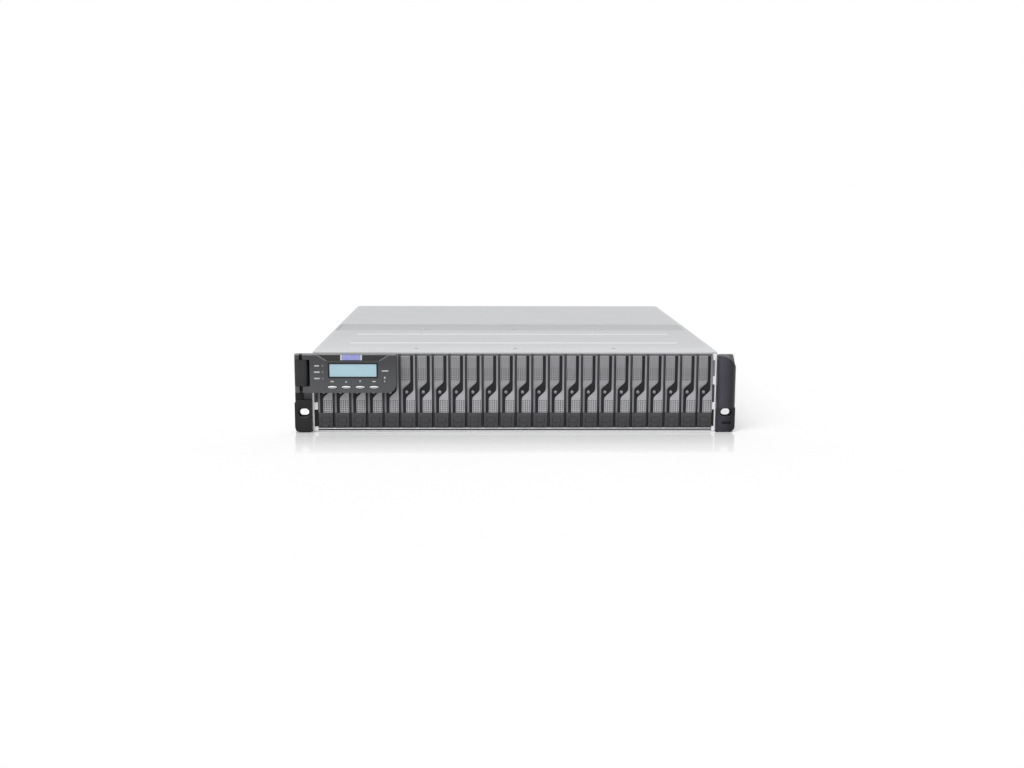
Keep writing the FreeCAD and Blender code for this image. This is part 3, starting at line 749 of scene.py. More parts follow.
@listed
class ARRAY_OT_body(bpy.types.Operator):
    """Sheet body, covers, screws and rack ears"""
    bl_idname = "storage_array.body"
    bl_label = "Body and covers"

    def execute(self, context):
        repaint("chassis_base", chassis_zinc)
        repaint("drive_cage", "zinc_sheet")
        repaint("midplane_board", "board_green")
        repaint("lcd_hinge_pin", "pin_black")
        for node in ("top_cover_front", "top_cover_rear"):
            softened(node, 0.25, cover_zinc, "chassis")
        for node, kind in (("left_ear", left_ear_plastic), ("right_ear", right_ear_plastic)):
            softened(node, sizes().edge, kind, "chassis")
        strip_backs()
        slot_rings()
        sill_trim()
        side_rivets()
        cover_screws()
        cover_studs()
        return {"FINISHED"}


# Trays

DIVIDER_REACH = 8.0
DRIVE_WIDTH = 15.0
DRIVE_LENGTH = 100.2
DRIVE_TALL = 69.85
LID_SCREW = (43.0, 28.0)


def body_of_bay(bay, kind):
    """Body of a bay's tray or flap: the closed panel locks the first bays, so they ride on the chassis."""
    return "%s_%02d" % (kind, bay) if bay >= FIRST_OPEN_BAY else "chassis"


def bay_left(bay):
    """Left edge of a bay's tray, in millimetres."""
    return FLAP_LOW[0] + (bay - FIRST_OPEN_BAY) * BAY_PITCH


def tray_sled(bay):
    """Bezel, rails, drive and adapter of one tray."""
    source = max(bay, FIRST_OPEN_BAY)
    piece = copied("drive_tray_%02d" % source, "tray_sled_%02d" % bay, 0.35, tray_finish,
                   body_of_bay(bay, "tray"), (bay - source) * BAY_PITCH)
    if bay >= FIRST_OPEN_BAY:
        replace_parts(piece, "drive_tray_%02d" % bay)
    elif bay == 1:
        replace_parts(piece, "drive_trays_behind_panel")


def drive_sides(bay):
    """Pressed lid with its screws on a drive's right side, circuit board with its chips on the left."""
    body = body_of_bay(bay, "tray")
    middle = np.array([bay_left(bay) + TRAY_WIDTH / 2, TRAY_HIGH[1] - ADAPTER_LENGTH - DRIVE_LENGTH / 2,
                       TRAY_LOW[2] + RAIL_HEIGHT + DRIVE_TALL / 2])
    right = middle + (DRIVE_WIDTH / 2, 0, 0)
    left = middle - (DRIVE_WIDTH / 2, 0, 0)
    lid = plate(DRIVE_LENGTH - 5, DRIVE_TALL - 5, 5.0, 0.2, 0.1, right, "right")
    well = plate(60.0, 52.0, 26.0, 0.06, 0.03, right + (0.2, -14.0, 0), "right")
    put("drive_lid_%02d" % bay, [lid, well], body, "drive_metal")
    board = plate(DRIVE_LENGTH - 12, DRIVE_TALL - 18, 1.5, 0.1, 0.03, left + (0, 4.0, -6.0), "left")
    put("drive_board_%02d" % bay, [board], body, "board_green")
    dark = [slab(circle(1.5, 16), ((0, 0), (0, 0.06)),
                 right + (0.2, across * LID_SCREW[0], up * LID_SCREW[1]), "right")
            for across in (-1, 0, 1) for up in (-1, 1)]
    dark += [plate(wide, tall, 0.4, 0.15, 0.05, left + (-0.1, along, up), "left")
             for wide, tall, along, up in ((14, 14, 18, -8), (9, 12, -2, -2), (8, 8, -20, -16),
                                           (20, 6, -22, 6))]
    put("drive_fittings_%02d" % bay, dark, body, "dark_recess")


def bay_dividers():
    """Upright dividers in the gaps between the trays, in front of the cage's walls."""
    gap = BAY_PITCH - TRAY_WIDTH
    height = TRAY_HIGH[2] - TRAY_LOW[2]
    middle = (TRAY_HIGH[2] + TRAY_LOW[2]) / 2
    fins = [plate(gap - 0.8, height, 0.3, DIVIDER_REACH, 0.3, (bay_left(bay) - gap / 2, BODY_FRONT, middle))
            for bay in range(2, BAYS + 1)]
    put("bay_dividers", fins, "chassis", divider_paint)


def tray_lights(bay):
    """Two small light windows at the foot of the release block."""
    lamps = [plate(1.7, 1.3, 0.5, 0.2, 0.08,
                   (bay_left(bay) + across * TRAY_WIDTH, FLAP_LOW[1] + 0.1, TRAY_LOW[2] + 1.5))
             for across in (0.2, 0.72)]
    put("tray_lights_%02d" % bay, lamps, body_of_bay(bay, "tray"), "dark_recess")


@listed
class ARRAY_OT_trays(bpy.types.Operator):
    """Sleds, drives and release blocks of the trays"""
    bl_idname = "storage_array.trays"
    bl_label = "Drive trays"

    def execute(self, context):
        bay_dividers()
        for bay in range(1, BAYS + 1):
            tray_sled(bay)
            tray_lights(bay)
            if bay >= FIRST_OPEN_BAY:
                drive_sides(bay)
        return {"FINISHED"}


# Flaps

CHANNEL_EDGE = 2.0
CHANNEL_WIDTH = 3.5
UPPER_BEND = (28.5, 39.0)
LOWER_BEND = (37.8, 49.0)
WIDE_HOLES_START = 15.0
UPPER_MESH_END = 28.4
LOWER_MESH_START = 49.6
ROW_STEP = 2.4
LOCK_ACROSS = 6.2
LOCK_DOWN = 41.0
FLAP_RADIUS = (FLAP_HIGH[1] - FLAP_LOW[1]) / 2
ROLL_Y = FLAP_LOW[1] + FLAP_RADIUS
ROLL_Z = FLAP_HIGH[2] - FLAP_RADIUS


def channel_edges(down):
    """Left and right edge of the S-shaped channel at each depth below the tray's top.

    Each edge is straight, then follows a smooth step (a half cosine) to the other side, then is straight."""
    def step(start, stop, first, last):
        share = np.clip((down - start) / (stop - start), 0, 1)
        return first + (last - first) * (0.5 - 0.5 * np.cos(math.pi * share))
    far = TRAY_WIDTH - CHANNEL_EDGE
    left = step(*UPPER_BEND, far - CHANNEL_WIDTH, CHANNEL_EDGE)
    right = step(*LOWER_BEND, far, CHANNEL_EDGE + CHANNEL_WIDTH)
    return left, right


def perforated(left, right, down, hole):
    """Sheet between two edges, as rows of cells. A cell is eight boundary points round an eight-sided hole.

    left and right are the edges at each row line, down the row lines, hole each row's hole or 0."""
    lines = np.empty(2 * len(down) - 1)
    lines[::2] = down
    lines[1::2] = (down[:-1] + down[1:]) / 2
    low = np.interp(lines, down, left)[:, None]
    high = np.interp(lines, down, right)[:, None]
    across = low + (high - low) * np.linspace(0, 1, 2 * sizes().columns + 1)
    points = np.stack([across, np.broadcast_to(lines[:, None], across.shape)], axis=-1)
    index = np.arange(across.size).reshape(across.shape)
    top, middle, foot = index[:-2:2], index[1:-1:2], index[2::2]
    cells = np.stack([top[:, :-2:2], top[:, 1:-1:2], top[:, 2::2], middle[:, 2::2],
                      foot[:, 2::2], foot[:, 1:-1:2], foot[:, :-2:2], middle[:, :-2:2]], axis=-1)
    turn = np.radians([225, 270, 315, 0, 45, 90, 135, 180])
    ring = np.stack([np.cos(turn), np.sin(turn)], axis=-1) * (hole / 2)[:, None, None, None]
    ring = points[1:-1:2, 1:-1:2, None, :] + ring
    pierced = hole > 0
    outer = cells[pierced].reshape(-1, 8)
    inner_points = ring[pierced].reshape(-1, 2)
    inner = across.size + np.arange(len(inner_points)).reshape(-1, 8)
    walls = np.stack([outer, np.roll(outer, -1, axis=1), np.roll(inner, -1, axis=1), inner], axis=-1)
    faces = walls.reshape(-1, 4).tolist() + cells[~pierced].reshape(-1, 8).tolist()
    return drop_unused(np.concatenate([points.reshape(-1, 2), inner_points]), faces)


def drop_unused(points, faces):
    """Keeps only the points that a face uses."""
    kept, where = np.unique(np.concatenate(faces), return_inverse=True)
    ends = np.cumsum([len(face) for face in faces])[:-1]
    return points[kept], [part.tolist() for part in np.split(where, ends)]


def flap_front(down):
    """Depth and height of the flap's front at each distance below the tray's top.

    The front is straight, and above the roll's centre it follows the roll: y = c - r cos(s / r) and
    z = c + r sin(s / r) for the length s along the roll."""
    along = np.maximum(TRAY_HIGH[2] - down - ROLL_Z, 0)
    y = ROLL_Y - FLAP_RADIUS * np.cos(along / FLAP_RADIUS)
    z = np.minimum(TRAY_HIGH[2] - down, ROLL_Z) + FLAP_RADIUS * np.sin(along / FLAP_RADIUS)
    return y, z


def flap_panels(bay):
    """The two grey mesh panels of a flap, on either side of its channel."""
    start = TRAY_HIGH[2] - ROLL_Z
    bottom = TRAY_HIGH[2] - FLAP_LOW[2]
    down = np.concatenate([np.linspace(start - 1.2 * FLAP_RADIUS, start, 6)[:-1],
                           np.arange(start, UPPER_MESH_END + 0.6, ROW_STEP),
                           np.linspace(UPPER_MESH_END + 1.2, LOWER_MESH_START - 0.6, 30),
                           np.linspace(LOWER_MESH_START, bottom, 7)])
    left, right = channel_edges(down)
    middle = (down[:-1] + down[1:]) / 2
    upper = np.where(middle > WIDE_HOLES_START, sizes().hole, 0.6 * sizes().hole)
    upper = np.where((middle > start) & (middle < UPPER_MESH_END), upper, 0)
    lower = np.where(middle > LOWER_MESH_START, sizes().hole, 0)
    sheets = [perforated(np.zeros_like(down), left, down, upper),
              perforated(right, np.full_like(down, TRAY_WIDTH), down, lower)]
    pieces = []
    for flat, faces in sheets:
        y, z = flap_front(flat[:, 1])
        pieces.append((np.stack([bay_left(bay) + flat[:, 0], y, z], axis=1), faces))
    piece = put("flap_mesh_%02d" % bay, pieces, body_of_bay(bay, "flap"), left_paint,
                turn=frontward)
    piece.data.materials.append(shared(right_paint))
    for face in piece.data.polygons[len(sheets[0][1]):]:
        face.material_index = 1
    wall = piece.modifiers.new("sheet", "SOLIDIFY")
    wall.thickness = sizes().mesh_thick * MM
    wall.offset = -1.0


def flap_base(bay):
    """Black back of a flap: a plate with a half-round top, carried across the tray behind the mesh."""
    inner = FLAP_RADIUS - sizes().mesh_thick
    foot = FLAP_LOW[2] - ROLL_Z
    profile = np.concatenate([bow(0, math.pi / 2, FLAP_RADIUS, 7), bow(math.pi / 2, math.pi, inner, 7),
                              [[-inner, foot], [FLAP_RADIUS, foot]]]) + (ROLL_Y, ROLL_Z)
    count = len(profile)
    left = bay_left(bay)
    points = [np.column_stack([np.full(count, x), profile]) for x in (left, left + TRAY_WIDTH)]
    faces = grid_faces(2, count, wrap=True) + [list(range(count)), list(range(count, 2 * count))[::-1]]
    piece = put("flap_base_%02d" % bay, [(points, faces)], body_of_bay(bay, "flap"),
                "channel_black", smooth=True)
    if bay >= FIRST_OPEN_BAY:
        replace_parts(piece, "tray_flap_%02d" % bay)


def tray_lock(bay):
    """Round slotted lock in the bend of the channel: a domed disc with a groove, in a dark ring; the groove
    is a flat dark mark, painted shade for the slot.
    """
    body = body_of_bay(bay, "flap")
    place = np.array([bay_left(bay) + LOCK_ACROSS, FLAP_LOW[1] + sizes().mesh_thick,
                      TRAY_HIGH[2] - LOCK_DOWN])
    radius = sizes().lock / 2
    disc = slab(circle(radius, 28), ((0, -0.3), (0, 0.3), (0.12, 0.44), (0.5, 0.54), (1.0, 0.58)), place)
    put("tray_lock_%02d" % bay, [disc], body, "lock_grey", smooth=True)
    # Painted shade for the slot.
    groove = plate(radius * 1.5, 0.5, 0.2, 0.08, 0.03, place - (0, 0.55, 0))
    collar = rim(circle(radius + 0.9, 28), circle(radius + 0.1, 28), 0.3, place)
    put("lock_collar_%02d" % bay, [groove, collar], body, "dark_recess")


@listed
class ARRAY_OT_flaps(bpy.types.Operator):
    """Mesh panels, black backs and locks of the tray flaps"""
    bl_idname = "storage_array.flaps"
    bl_label = "Tray flaps"

    def execute(self, context):
        for bay in range(1, BAYS + 1):
            flap_base(bay)
            flap_panels(bay)
            tray_lock(bay)
        return {"FINISHED"}


# Control panel

DOOR_MIDDLE = (SCREEN_LOW[0] + SCREEN_HIGH[0]) / 2
DOOR_FACE = DOOR_LOW[1]
BROW_FOOT = DOOR_HIGH[2] - BROW_HEIGHT
KEYS = ("key_escape", "key_up", "key_down", "key_enter")
KEY_POINTS = 48
KEY_POWER = 2.3
KEY_RIM = (11.2, 3.7)
MARK_STEPS = ((0, 0), (0, 0.08))
MARK_EDGE = (0.08, 0.02)
LAMP_ROWS = (74.7, 67.8, 60.8)
KEY_MARKS_UP = 57.5
RIGHT_MARKS = 34.8
BADGE = (19.6, 6.2)
BADGE_SHIFT = -1.8
BROW_SHEET_HALVES = (27.6, 36.8)
BACK_COVER_INSET = (5.0, 4.0)
BACK_SCREW_INSET = 4.0


def triangle(size, up):
    """Outline of a small arrow head that points up or down."""
    shape = np.array([[size / 2, -size / 2], [0, size / 2], [-size / 2, -size / 2]])
    return shape if up else np.flip(shape * (1, -1), axis=0)


def panel_keys():
    """Crowned white keys and the dark oval rims that they stand in, painted shade for the recesses round
    them.
    """
    rims = []
    crown = sizes().key_crown
    for name in KEYS:
        low, high = corners(name)
        width, depth, height = high - low
        x, z = (low[0] + high[0]) / 2, (low[2] + high[2]) / 2
        steps = [(0.0, 0.0), (0.0, depth - crown)]
        steps += [(share * 1.1, depth - crown * (1 - math.sqrt(share)))
                  for share in np.linspace(0.15, 0.95, 5)]
        key = slab(ellipse(width, height, KEY_POINTS, KEY_POWER), steps, (x, high[1], z))
        piece = put(name + "_cap", [key], name, "key_white", smooth=True)
        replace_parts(piece, name)
        hole = ellipse(width + 0.35, height + 0.35, KEY_POINTS, KEY_POWER)
        # Painted shade round each key.
        rims.append(rim(ellipse(*KEY_RIM, KEY_POINTS, KEY_POWER), hole, 0.15, (x, DOOR_FACE + 0.1, z)))
    put("key_rims", rims, "lcd_panel", "channel_black")


def panel_marks():
    """Plain printed marks: bars, dots and arrow heads, with three dim lamps."""
    face = DOOR_FACE + 0.02
    left = corner("left_ear", True)[0]
    right = DOOR_MIDDLE + RIGHT_MARKS
    bars = [(width, 1.5, left + 7.2, z) for z, width in zip(LAMP_ROWS, (5.2, 6.3, 6.3))]
    bars += [(7.4, 1.3, right, 69.1), (1.5, 2.6, right - 0.4, 61.7)]
    marks = [slab(circle(0.75, 20), MARK_STEPS, (right - 0.6, face, 57.8))]
    for name in KEYS:
        x = (corner(name)[0] + corner(name, True)[0]) / 2
        if name in ("key_up", "key_down"):
            marks.append(slab(triangle(2.3, name == "key_up"), MARK_STEPS, (x, face, KEY_MARKS_UP)))
        else:
            bars.append((3.8, 1.3, x, KEY_MARKS_UP))
    marks += [plate(width, height, min(width, height) / 2 - 0.05, *MARK_EDGE, (x, face, z))
              for width, height, x, z in bars]
    put("panel_marks", marks, "lcd_panel", "mark_white")
    lamps = [slab(circle(1.05, 24), ((0, 0), (0, 0.15), (0.3, 0.3)), (left + 13.6, face, z))
             for z in LAMP_ROWS]
    put("panel_lamps", lamps, "lcd_panel", "lamp_grey", smooth=True)


def panel_screen():
    """Dark ring round the display: a painted shadow round its recess."""
    width, _, height = SCREEN_HIGH - SCREEN_LOW
    middle = (DOOR_MIDDLE, DOOR_FACE + 0.05, (SCREEN_LOW[2] + SCREEN_HIGH[2]) / 2)
    # Painted shadow round the display.
    shape = rim(oblong(width + 2.8, height + 2.6, 1.2), oblong(width - 0.2, height - 0.2, 0.3), 0.3, middle)
    put("screen_frame", [shape], "lcd_panel", "channel_black")
    repaint("lcd_display", screen_glow)


def panel_brow():
    """Dark sheet on the sloped brow, painted highlights along the edges beside it and the bare blue plate on
    it.
    """
    foot, head = -BROW_LENGTH / 2 + 0.2, BROW_LENGTH / 2 - 1.0
    narrow, wide = BROW_SHEET_HALVES
    dark_sheet = np.array([[narrow, foot], [wide, head], [-wide, head], [-narrow, foot]])
    place = np.array([DOOR_MIDDLE, DOOR_FACE + BROW_DEPTH / 2, BROW_FOOT + BROW_HEIGHT / 2])
    shape = slab(dark_sheet, ((0, -0.1), (0, 0.12)), place, "brow")
    put("brow_inlay", [shape], "lcd_panel", "brow_black")
    # Painted highlights along the slanted edges.
    slant = np.array([[27.9, 0.2], [29.7, 0.2], [40.4, 6.8], [38.6, 6.8]])
    slants = [slab(slant * (side, 1), MARK_STEPS, (DOOR_MIDDLE, DOOR_FACE + 0.02, BROW_FOOT))
              for side in (-1, 1)]
    put("brow_edges", slants, "lcd_panel", "brow_grey")
    place[0] += BADGE_SHIFT
    body = plate(*BADGE, 0.3, 0.7, 0.15, place, "brow")
    put("brow_plate", [body], "lcd_panel", "badge_blue")
    ends = [plate(2.0, BADGE[1], 0.4, 0.75, 0.15, place + (side * (BADGE[0] / 2 + 1.0), 0, 0), "brow")
            for side in (-1, 1)]
    put("brow_plate_ends", ends, "lcd_panel", "mark_white")


def panel_back():
    """Plated cover on the panel's back, held by four low screws."""
    width = DOOR_HIGH[0] - DOOR_MIDDLE - BACK_COVER_INSET[0]
    height = (DOOR_HIGH[2] - DOOR_LOW[2]) / 2 - BACK_COVER_INSET[1]
    place = np.array([DOOR_MIDDLE, DOOR_HIGH[1] - 0.05, (DOOR_LOW[2] + DOOR_HIGH[2]) / 2])
    cover = plate(2 * width, 2 * height, 2.5, 0.4, 0.15, place, "back")
    put("panel_back_cover", [cover], "lcd_panel", "zinc_sheet")
    x, z = width - BACK_SCREW_INSET, height - BACK_SCREW_INSET
    heads = [slab(circle(1.9, 24), ((0, 0), (0, 0.1), (0.4, 0.28), (1.1, 0.36)),
                  place + (across * x, 0.35, up * z), "back")
             for across in (-1, 1) for up in (-1, 1)]
    put("panel_back_screws", heads, "lcd_panel", "lock_steel", smooth=True)


@listed
class ARRAY_OT_panel(bpy.types.Operator):
    """Control panel with its display, keys, marks and brow"""
    bl_idname = "storage_array.panel"
    bl_label = "Control panel"

    def execute(self, context):
        softened("lcd_door", sizes().edge, panel_plastic, "lcd_panel")
        panel_screen()
        panel_keys()
        panel_marks()
        panel_brow()
        panel_back()
        return {"FINISHED"}


# Controllers

PORTS = 6
NARROW_PORTS = 4
NARROW_PORT = (13.5, 9.5)
WIDE_PORT = (16.0, 13.0)
PORT_DEPTH = 2.5
PORT_STEP = 22.0
PORT_PINS = 8
SMALL_VENTS = (3.4, 1.2)
LARGE_VENTS = (4.5, 1.5)
BACK_VENTS = (77.0, 9.5)
TOP_VENTS = (64.0, 40.0)
LAMPS_UP = 12.5
KNOB_PLACE = (72.0, -9.0)
KNOB_RADIUS = 3.6
KNURL_DEPTH = 0.18
KNURL_TEETH = 24


def lamp(x, face, z):
    """Small domed lamp on a back plate."""
    return slab(circle(1.1, 20), ((0, 0), (0, 0.3), (0.4, 0.5)), (x, face, z), "back")


def vent_rows(columns, rows, vents, place, facing="back"):
    """Staggered rows of dark round discs on a facing side, painted shade standing in for holes, with vents
    as their spacing and radius.
    """
    step, radius = vents
    holes = []
    for row in range(rows):
        for column in range(columns - row % 2):
            across = (column - (columns - 1 - row % 2) / 2) * step
            up = (row - (rows - 1) / 2) * step * math.sqrt(0.75)
            spot = np.array([across, up, 0]) @ FACINGS[facing] + place
            # Each hole is a flat dark disc: painted shade.
            holes.append(slab(circle(radius, 12), ((0, -0.02), (0, 0.03)), spot, facing))
    return holes


def controller_ports(node, face, middle):
    """Steel shells round the six ports, with dark throats and gold contacts."""
    shells, throats, contacts = [], [], []
    for column in range(PORTS):
        x = (column - (PORTS - 1) / 2) * PORT_STEP
        width, height = NARROW_PORT if column < NARROW_PORTS else WIDE_PORT
        outer = oblong(width + 2.2, height + 2.2, 1.0)
        inner = oblong(width - 0.6, height - 0.6, 0.4)
        floor_y = face - PORT_DEPTH
        shells.append(rim(outer, inner, 0.7, (x, face, middle), "back"))
        throats.append(plate(width - 0.2, height - 0.2, 0.5, 0.3, 0.1, (x, floor_y, middle), "back"))
        for pin in range(PORT_PINS):
            across = (pin - (PORT_PINS - 1) / 2) * (width - 5) / PORT_PINS
            place = (x + across, floor_y + 0.3, middle + height / 2 - 2.4)
            contacts.append(plate(0.6, 3.2, 0.2, 0.3, 0.1, place, "back"))
    put(node + "_shells", shells, node, "lock_steel")
    put(node + "_throats", throats, node, "dark_recess")
    put(node + "_contacts", contacts, node, "contact_gold")


def controller_face(node, face, middle):
    """Vents, lamps and thumb screws on the back plate.

    A thumb screw's knurl is a circle whose radius swings with cos(n a) at angle a, for n teeth."""
    turn = np.arange(2 * KNURL_TEETH) * math.pi / KNURL_TEETH
    reach = KNOB_RADIUS + KNURL_DEPTH * np.cos(turn * KNURL_TEETH)
    knurl = np.stack([reach * np.cos(turn), reach * np.sin(turn)], axis=1)
    vents, knobs = [], []
    for side in (-1, 1):
        vents += vent_rows(8, 4, SMALL_VENTS, (side * BACK_VENTS[0], face, middle + BACK_VENTS[1]))
        top = (side * TOP_VENTS[0], BODY_BACK - TOP_VENTS[1], corner(node, True)[2])
        vents += vent_rows(20, 5, LARGE_VENTS, top, "up")
        knobs.append(slab(knurl, ((0, 0), (0, 3.2), (0.5, 3.8), (1.4, 4.0)),
                          (side * KNOB_PLACE[0], face, middle + KNOB_PLACE[1]), "back"))
    put(node + "_vents", vents, node, "dark_recess")
    lamps = [lamp((column - (PORTS - 1) / 2) * PORT_STEP, face, middle + LAMPS_UP)
             for column in range(NARROW_PORTS)]
    put(node + "_lamps", lamps, node, "lamp_green", smooth=True)
    put(node + "_knobs", knobs, node, "lock_steel", smooth=True)


def lever_ridges(node, middle):
    """Grip ridges on the levers."""
    high = corner(node, True)
    bars = [plate(0.9, 6.4, 0.4, 0.4, 0.25, (side * x, high[1] - 0.4, middle), "back")
            for side in (-1, 1) for x in high[0] - 9.5 - 2.2 * np.arange(6)]
    put(node + "_ridges", bars, node, "block_plastic")


@listed
class ARRAY_OT_controllers(bpy.types.Operator):
    """Back plates, ports, vents and levers of the two controllers"""
    bl_idname = "storage_array.controllers"
    bl_label = "Controllers"

    def execute(self, context):
        for node in ("controller_lower", "controller_upper"):
            softened(node, 0.3, controller_metal, node)
            low, high = corners(node)
            face = high[1] - LEVER_THICK
            middle = (low[2] + high[2]) / 2
            controller_ports(node, face, middle)
            controller_face(node, face, middle)
            lever_ridges(node, middle)
        return {"FINISHED"}


# Power supplies

FAN_RADIUS = 22.5
FAN_TOP_GAP = 3.9
FAN_BLADES = 7
HUB_RADIUS = 10.0
BLADE_ROOT = 9.6
BLADE_GRID = 9
BLADE_THICK = 1.1
ROOT_PITCH = 58
PITCH_FALL = 24
ROOT_CHORD = 12.0
CHORD_GAIN = 3.0
TIP_SWEEP = 0.25
SWEEP_SPAN = 13.0
CAMBER = 0.6
WIRE_RADII = (6.0, 10.0, 18.0, 22.0)
WIRE_RADIUS = 0.5
INLET = (28.0, 20.5)
INLET_UP = 12.0
INLET_DEPTH = 16.9


def guard_wires(node, x, z, face):
    """Round wires of the fan guard: tori whose tube is swept round a circle."""
    turn = np.arange(64)[:, None] * 2 * math.pi / 64
    tube = np.arange(8)[None, :] * 2 * math.pi / 8
    pieces = []
    for radius in WIRE_RADII:
        reach = radius + WIRE_RADIUS * np.cos(tube)
        depth = face - 0.1 + WIRE_RADIUS * np.sin(tube)
        grid = np.stack([x + reach * np.cos(turn), depth + 0 * turn, z + reach * np.sin(turn)], axis=-1)
        pieces.append((grid, grid_faces(64, 8, wrap=True, closed=True)))
    put(node + "_wires", pieces, node, "lock_steel", smooth=True)


def mains_inlet(node, x, z, face):
    """Black liner, flange and three blades of the mains inlet."""
    width, height = INLET
    liner = rim(oblong(width + 3.4, height + 3.4, 4.0), oblong(width - 2.0, height - 2.0, 2.6), 0.9,
                (x, face, z), "back")
    ground = plate(width - 0.4, height - 0.4, 2.6, 1.0, 0.3, (x, face - INLET_DEPTH, z), "back")
    core = plate(width - 9.0, height - 10.0, 1.5, 3.0, 0.4, (x, face - INLET_DEPTH + 1.0, z), "back")
    put(node + "_inlet", [liner, ground, core], node, "block_plastic")
    blades = [plate(2.0, 4.0, 0.3, 10.0, 0.4, (x + across, face - INLET_DEPTH + 4.0, z + up), "back")
              for across, up in ((-6.2, -1.6), (0.0, 2.0), (6.2, -1.6))]
    put(node + "_blades", blades, node, "lock_steel")


def fan_rotor(node, x, z):
    """Hub with a domed cap and seven swept blades.

    A blade's point at radius r and share u of its chord c lies at angle a = sweep + u c cos(p) / r and depth
    y = u c sin(p) + camber cos(pi u), where the pitch p falls from root to tip."""
    low, high = corners(node)
    middle = (low[1] + high[1]) / 2
    half = (high[1] - low[1]) / 2
    pieces = [slab(circle(HUB_RADIUS, 48), ((0, -half), (0, half - 1.5), (0.5, half - 0.5), (1.8, half)),
                   (x, middle, z), "back")]
    radius = np.linspace(BLADE_ROOT, FAN_RADIUS - 0.4, BLADE_GRID)[:, None]
    share = np.linspace(-0.5, 0.5, BLADE_GRID)[None, :]
    out = (radius - BLADE_ROOT) / (FAN_RADIUS - HUB_RADIUS)
    pitch = np.radians(ROOT_PITCH - PITCH_FALL * out)
    chord = ROOT_CHORD + CHORD_GAIN * out
    sweep = TIP_SWEEP * ((radius - BLADE_ROOT) / SWEEP_SPAN) ** 2
    angle = sweep + share * chord * np.cos(pitch) / radius
    depth = share * chord * np.sin(pitch) + CAMBER * np.cos(math.pi * share)
    count = BLADE_GRID ** 2
    index = np.arange(count).reshape(BLADE_GRID, BLADE_GRID)
    edge = np.concatenate([index[0, :-1], index[:-1, -1], index[-1, :0:-1], index[:0:-1, 0]])
    wall = np.stack([edge, np.roll(edge, -1), np.roll(edge, -1) + count, edge + count], axis=-1)
    quads = np.array(grid_faces(BLADE_GRID, BLADE_GRID))
    faces = np.concatenate([quads, quads[:, ::-1] + count, wall]).tolist()
    for blade in range(FAN_BLADES):
        turn = angle + blade * 2 * math.pi / FAN_BLADES
        sheet = np.stack([x + radius * np.cos(turn), middle + depth, z + radius * np.sin(turn)], axis=-1)
        pieces.append(([sheet, sheet + (0, BLADE_THICK, 0)], faces))
    piece = put(node + "_rotor", pieces, node, "fan_black", smooth=True)
    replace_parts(piece, node)


@listed
class ARRAY_OT_supplies(bpy.types.Operator):
    """Power supplies with fan guards, mains inlets, lamps and handles, and their fans"""
    bl_idname = "storage_array.supplies"
    bl_label = "Power supplies"

    def execute(self, context):
        for side, out in (("left", -1), ("right", 1)):
            node = "psu_" + side
            low, high = corners(node)
            softened(node, 0.35, supply_metal, node)
            face = high[1] - HANDLE_REACH
            x = (low[0] + high[0]) / 2
            fan_z = high[2] - FAN_TOP_GAP - FAN_RADIUS
            guard_wires(node, x, fan_z, face)
            mains_inlet(node, x, low[2] + INLET_UP, face)
            fan_rotor("fan_" + side, x, fan_z)
            lamps = [lamp(x + out * 32.0, face, z) for z in (8.0, 13.0)]
            put(node + "_lamps", lamps, node, "lamp_green", smooth=True)
            inner, facing = (low[0], "left") if side == "right" else (high[0], "right")
            vents = vent_rows(6, 6, SMALL_VENTS, (x - out * 30.0, face, 14.5))
            vents += vent_rows(12, 6, LARGE_VENTS, (x, BODY_BACK - 30.0, high[2]), "up")
            middle = (inner, BODY_BACK - 60.0, (low[2] + high[2]) / 2)
            vents += vent_rows(12, 10, LARGE_VENTS, middle, facing)
            put(node + "_vents", vents, node, "dark_recess")
        return {"FINISHED"}


# Stage

FLOOR_REACH = 60.0
FLOOR_DROP = 0.5
WHITE = (1.0, 1.0, 1.0, 1.0)
SKY_LIGHT = 0.5
SUN_STRENGTH = 2.3
SUN_WIDTH = 50
SUN_TILT = 42
SUN_TURN = -28
FOCAL_PIXELS = 1241.0
IMAGE_WIDTH = 1024
CAMERA_PLACE = (-34.0, -1357.0, 275.0)
CAMERA_DOWN = 9.37
CAMERA_TURN = 1.27
CAMERA_ROLL = 0.20


def floor():
    """Wide pale floor at the array's base."""
    mesh = bpy.data.meshes.new("floor")
    points = [(x * FLOOR_REACH, y * FLOOR_REACH, 0) for x, y in ((-1, -1), (1, -1), (1, 1), (-1, 1))]
    mesh.from_pydata(points, [], [(0, 1, 2, 3)])
    mesh.materials.append(floor_white())
    ground = bpy.data.objects.new("floor", mesh)
    ground.location.z = -FLOOR_DROP * MM
    bpy.context.collection.objects.link(ground)


def world():
    """Even white surroundings, dimmer for lighting than for the camera and for reflections."""
    sky = bpy.data.worlds.new("studio")
    bpy.context.scene.world = sky
    sky.use_nodes = True
    tree = sky.node_tree
    light = tree.nodes["Background"]
    wire(tree, WHITE, light.inputs["Color"])
    wire(tree, SKY_LIGHT, light.inputs["Strength"])
    seen = add(tree, "Background", {"Color": WHITE, "Strength": 1.0})
    path = tree.nodes.new("ShaderNodeLightPath")
    either = maths(tree, "MAXIMUM", path.outputs["Is Camera Ray"], path.outputs["Is Glossy Ray"])
    mix = add(tree, "MixShader", {"Fac": either, 1: light.outputs["Background"], 2: seen})
    wire(tree, mix, tree.nodes["World Output"].inputs["Surface"])


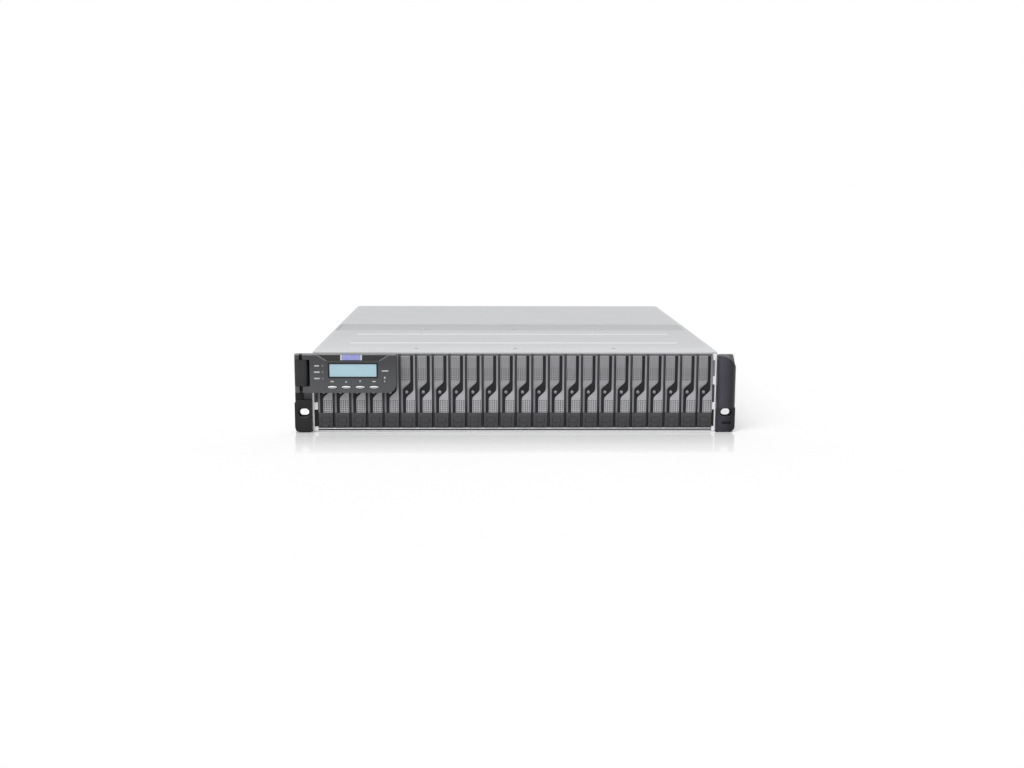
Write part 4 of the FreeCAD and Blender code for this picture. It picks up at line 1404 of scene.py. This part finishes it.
def sun():
    """Wide soft sun from the front, the left and above."""
    data = bpy.data.lights.new("soft_sun", "SUN")
    data.energy = SUN_STRENGTH
    data.angle = math.radians(SUN_WIDTH)
    holder = bpy.data.objects.new("soft_sun", data)
    bpy.context.collection.objects.link(holder)
    holder.rotation_euler = (math.radians(SUN_TILT), 0, math.radians(SUN_TURN))


def camera(scene):
    """Camera at the photograph's angle, placed from the front edge of the body."""
    data = bpy.data.cameras.new("camera")
    data.sensor_width = 36.0
    data.lens = FOCAL_PIXELS / IMAGE_WIDTH * data.sensor_width
    eye = bpy.data.objects.new("camera", data)
    bpy.context.collection.objects.link(eye)
    eye.location = np.add(CAMERA_PLACE, (0, BODY_FRONT, 0)) * MM
    turn = Matrix.Rotation(math.radians(-CAMERA_TURN), 4, "Z")
    tilt = Matrix.Rotation(math.radians(90 - CAMERA_DOWN), 4, "X")
    roll = Matrix.Rotation(math.radians(CAMERA_ROLL), 4, "Z")
    eye.rotation_euler = (turn @ tilt @ roll).to_euler()
    scene.camera = eye


@listed
class ARRAY_OT_stage(bpy.types.Operator):
    """Pale floor, soft light and the camera"""
    bl_idname = "storage_array.stage"
    bl_label = "Stage"

    def execute(self, context):
        context.scene.view_settings.view_transform = "Standard"
        floor()
        world()
        sun()
        camera(context.scene)
        return {"FINISHED"}


@listed
class ARRAY_PT_sidebar(bpy.types.Panel):
    """Steps that dress the array"""
    bl_label = "Storage array"
    bl_space_type = "VIEW_3D"
    bl_region_type = "UI"
    bl_category = "Storage array"

    def draw(self, context):
        column = self.layout.column()
        for cls in CLASSES:
            if issubclass(cls, bpy.types.Operator):
                column.operator(cls.bl_idname)


def register():
    for cls in CLASSES:
        bpy.utils.register_class(cls)
    bpy.types.Scene.array_sizes = PointerProperty(type=ArraySizes)
    bpy.types.Scene.array_colours = PointerProperty(type=ArrayColours)


def unregister():
    del bpy.types.Scene.array_colours
    del bpy.types.Scene.array_sizes
    for cls in reversed(CLASSES):
        bpy.utils.unregister_class(cls)


def main():
    register()
    bpy.ops.storage_array.body()
    bpy.ops.storage_array.trays()
    bpy.ops.storage_array.flaps()
    bpy.ops.storage_array.panel()
    bpy.ops.storage_array.controllers()
    bpy.ops.storage_array.supplies()
    bpy.ops.storage_array.stage()
    bpy.context.view_layer.update()


if __name__ == "__main__":
    main()
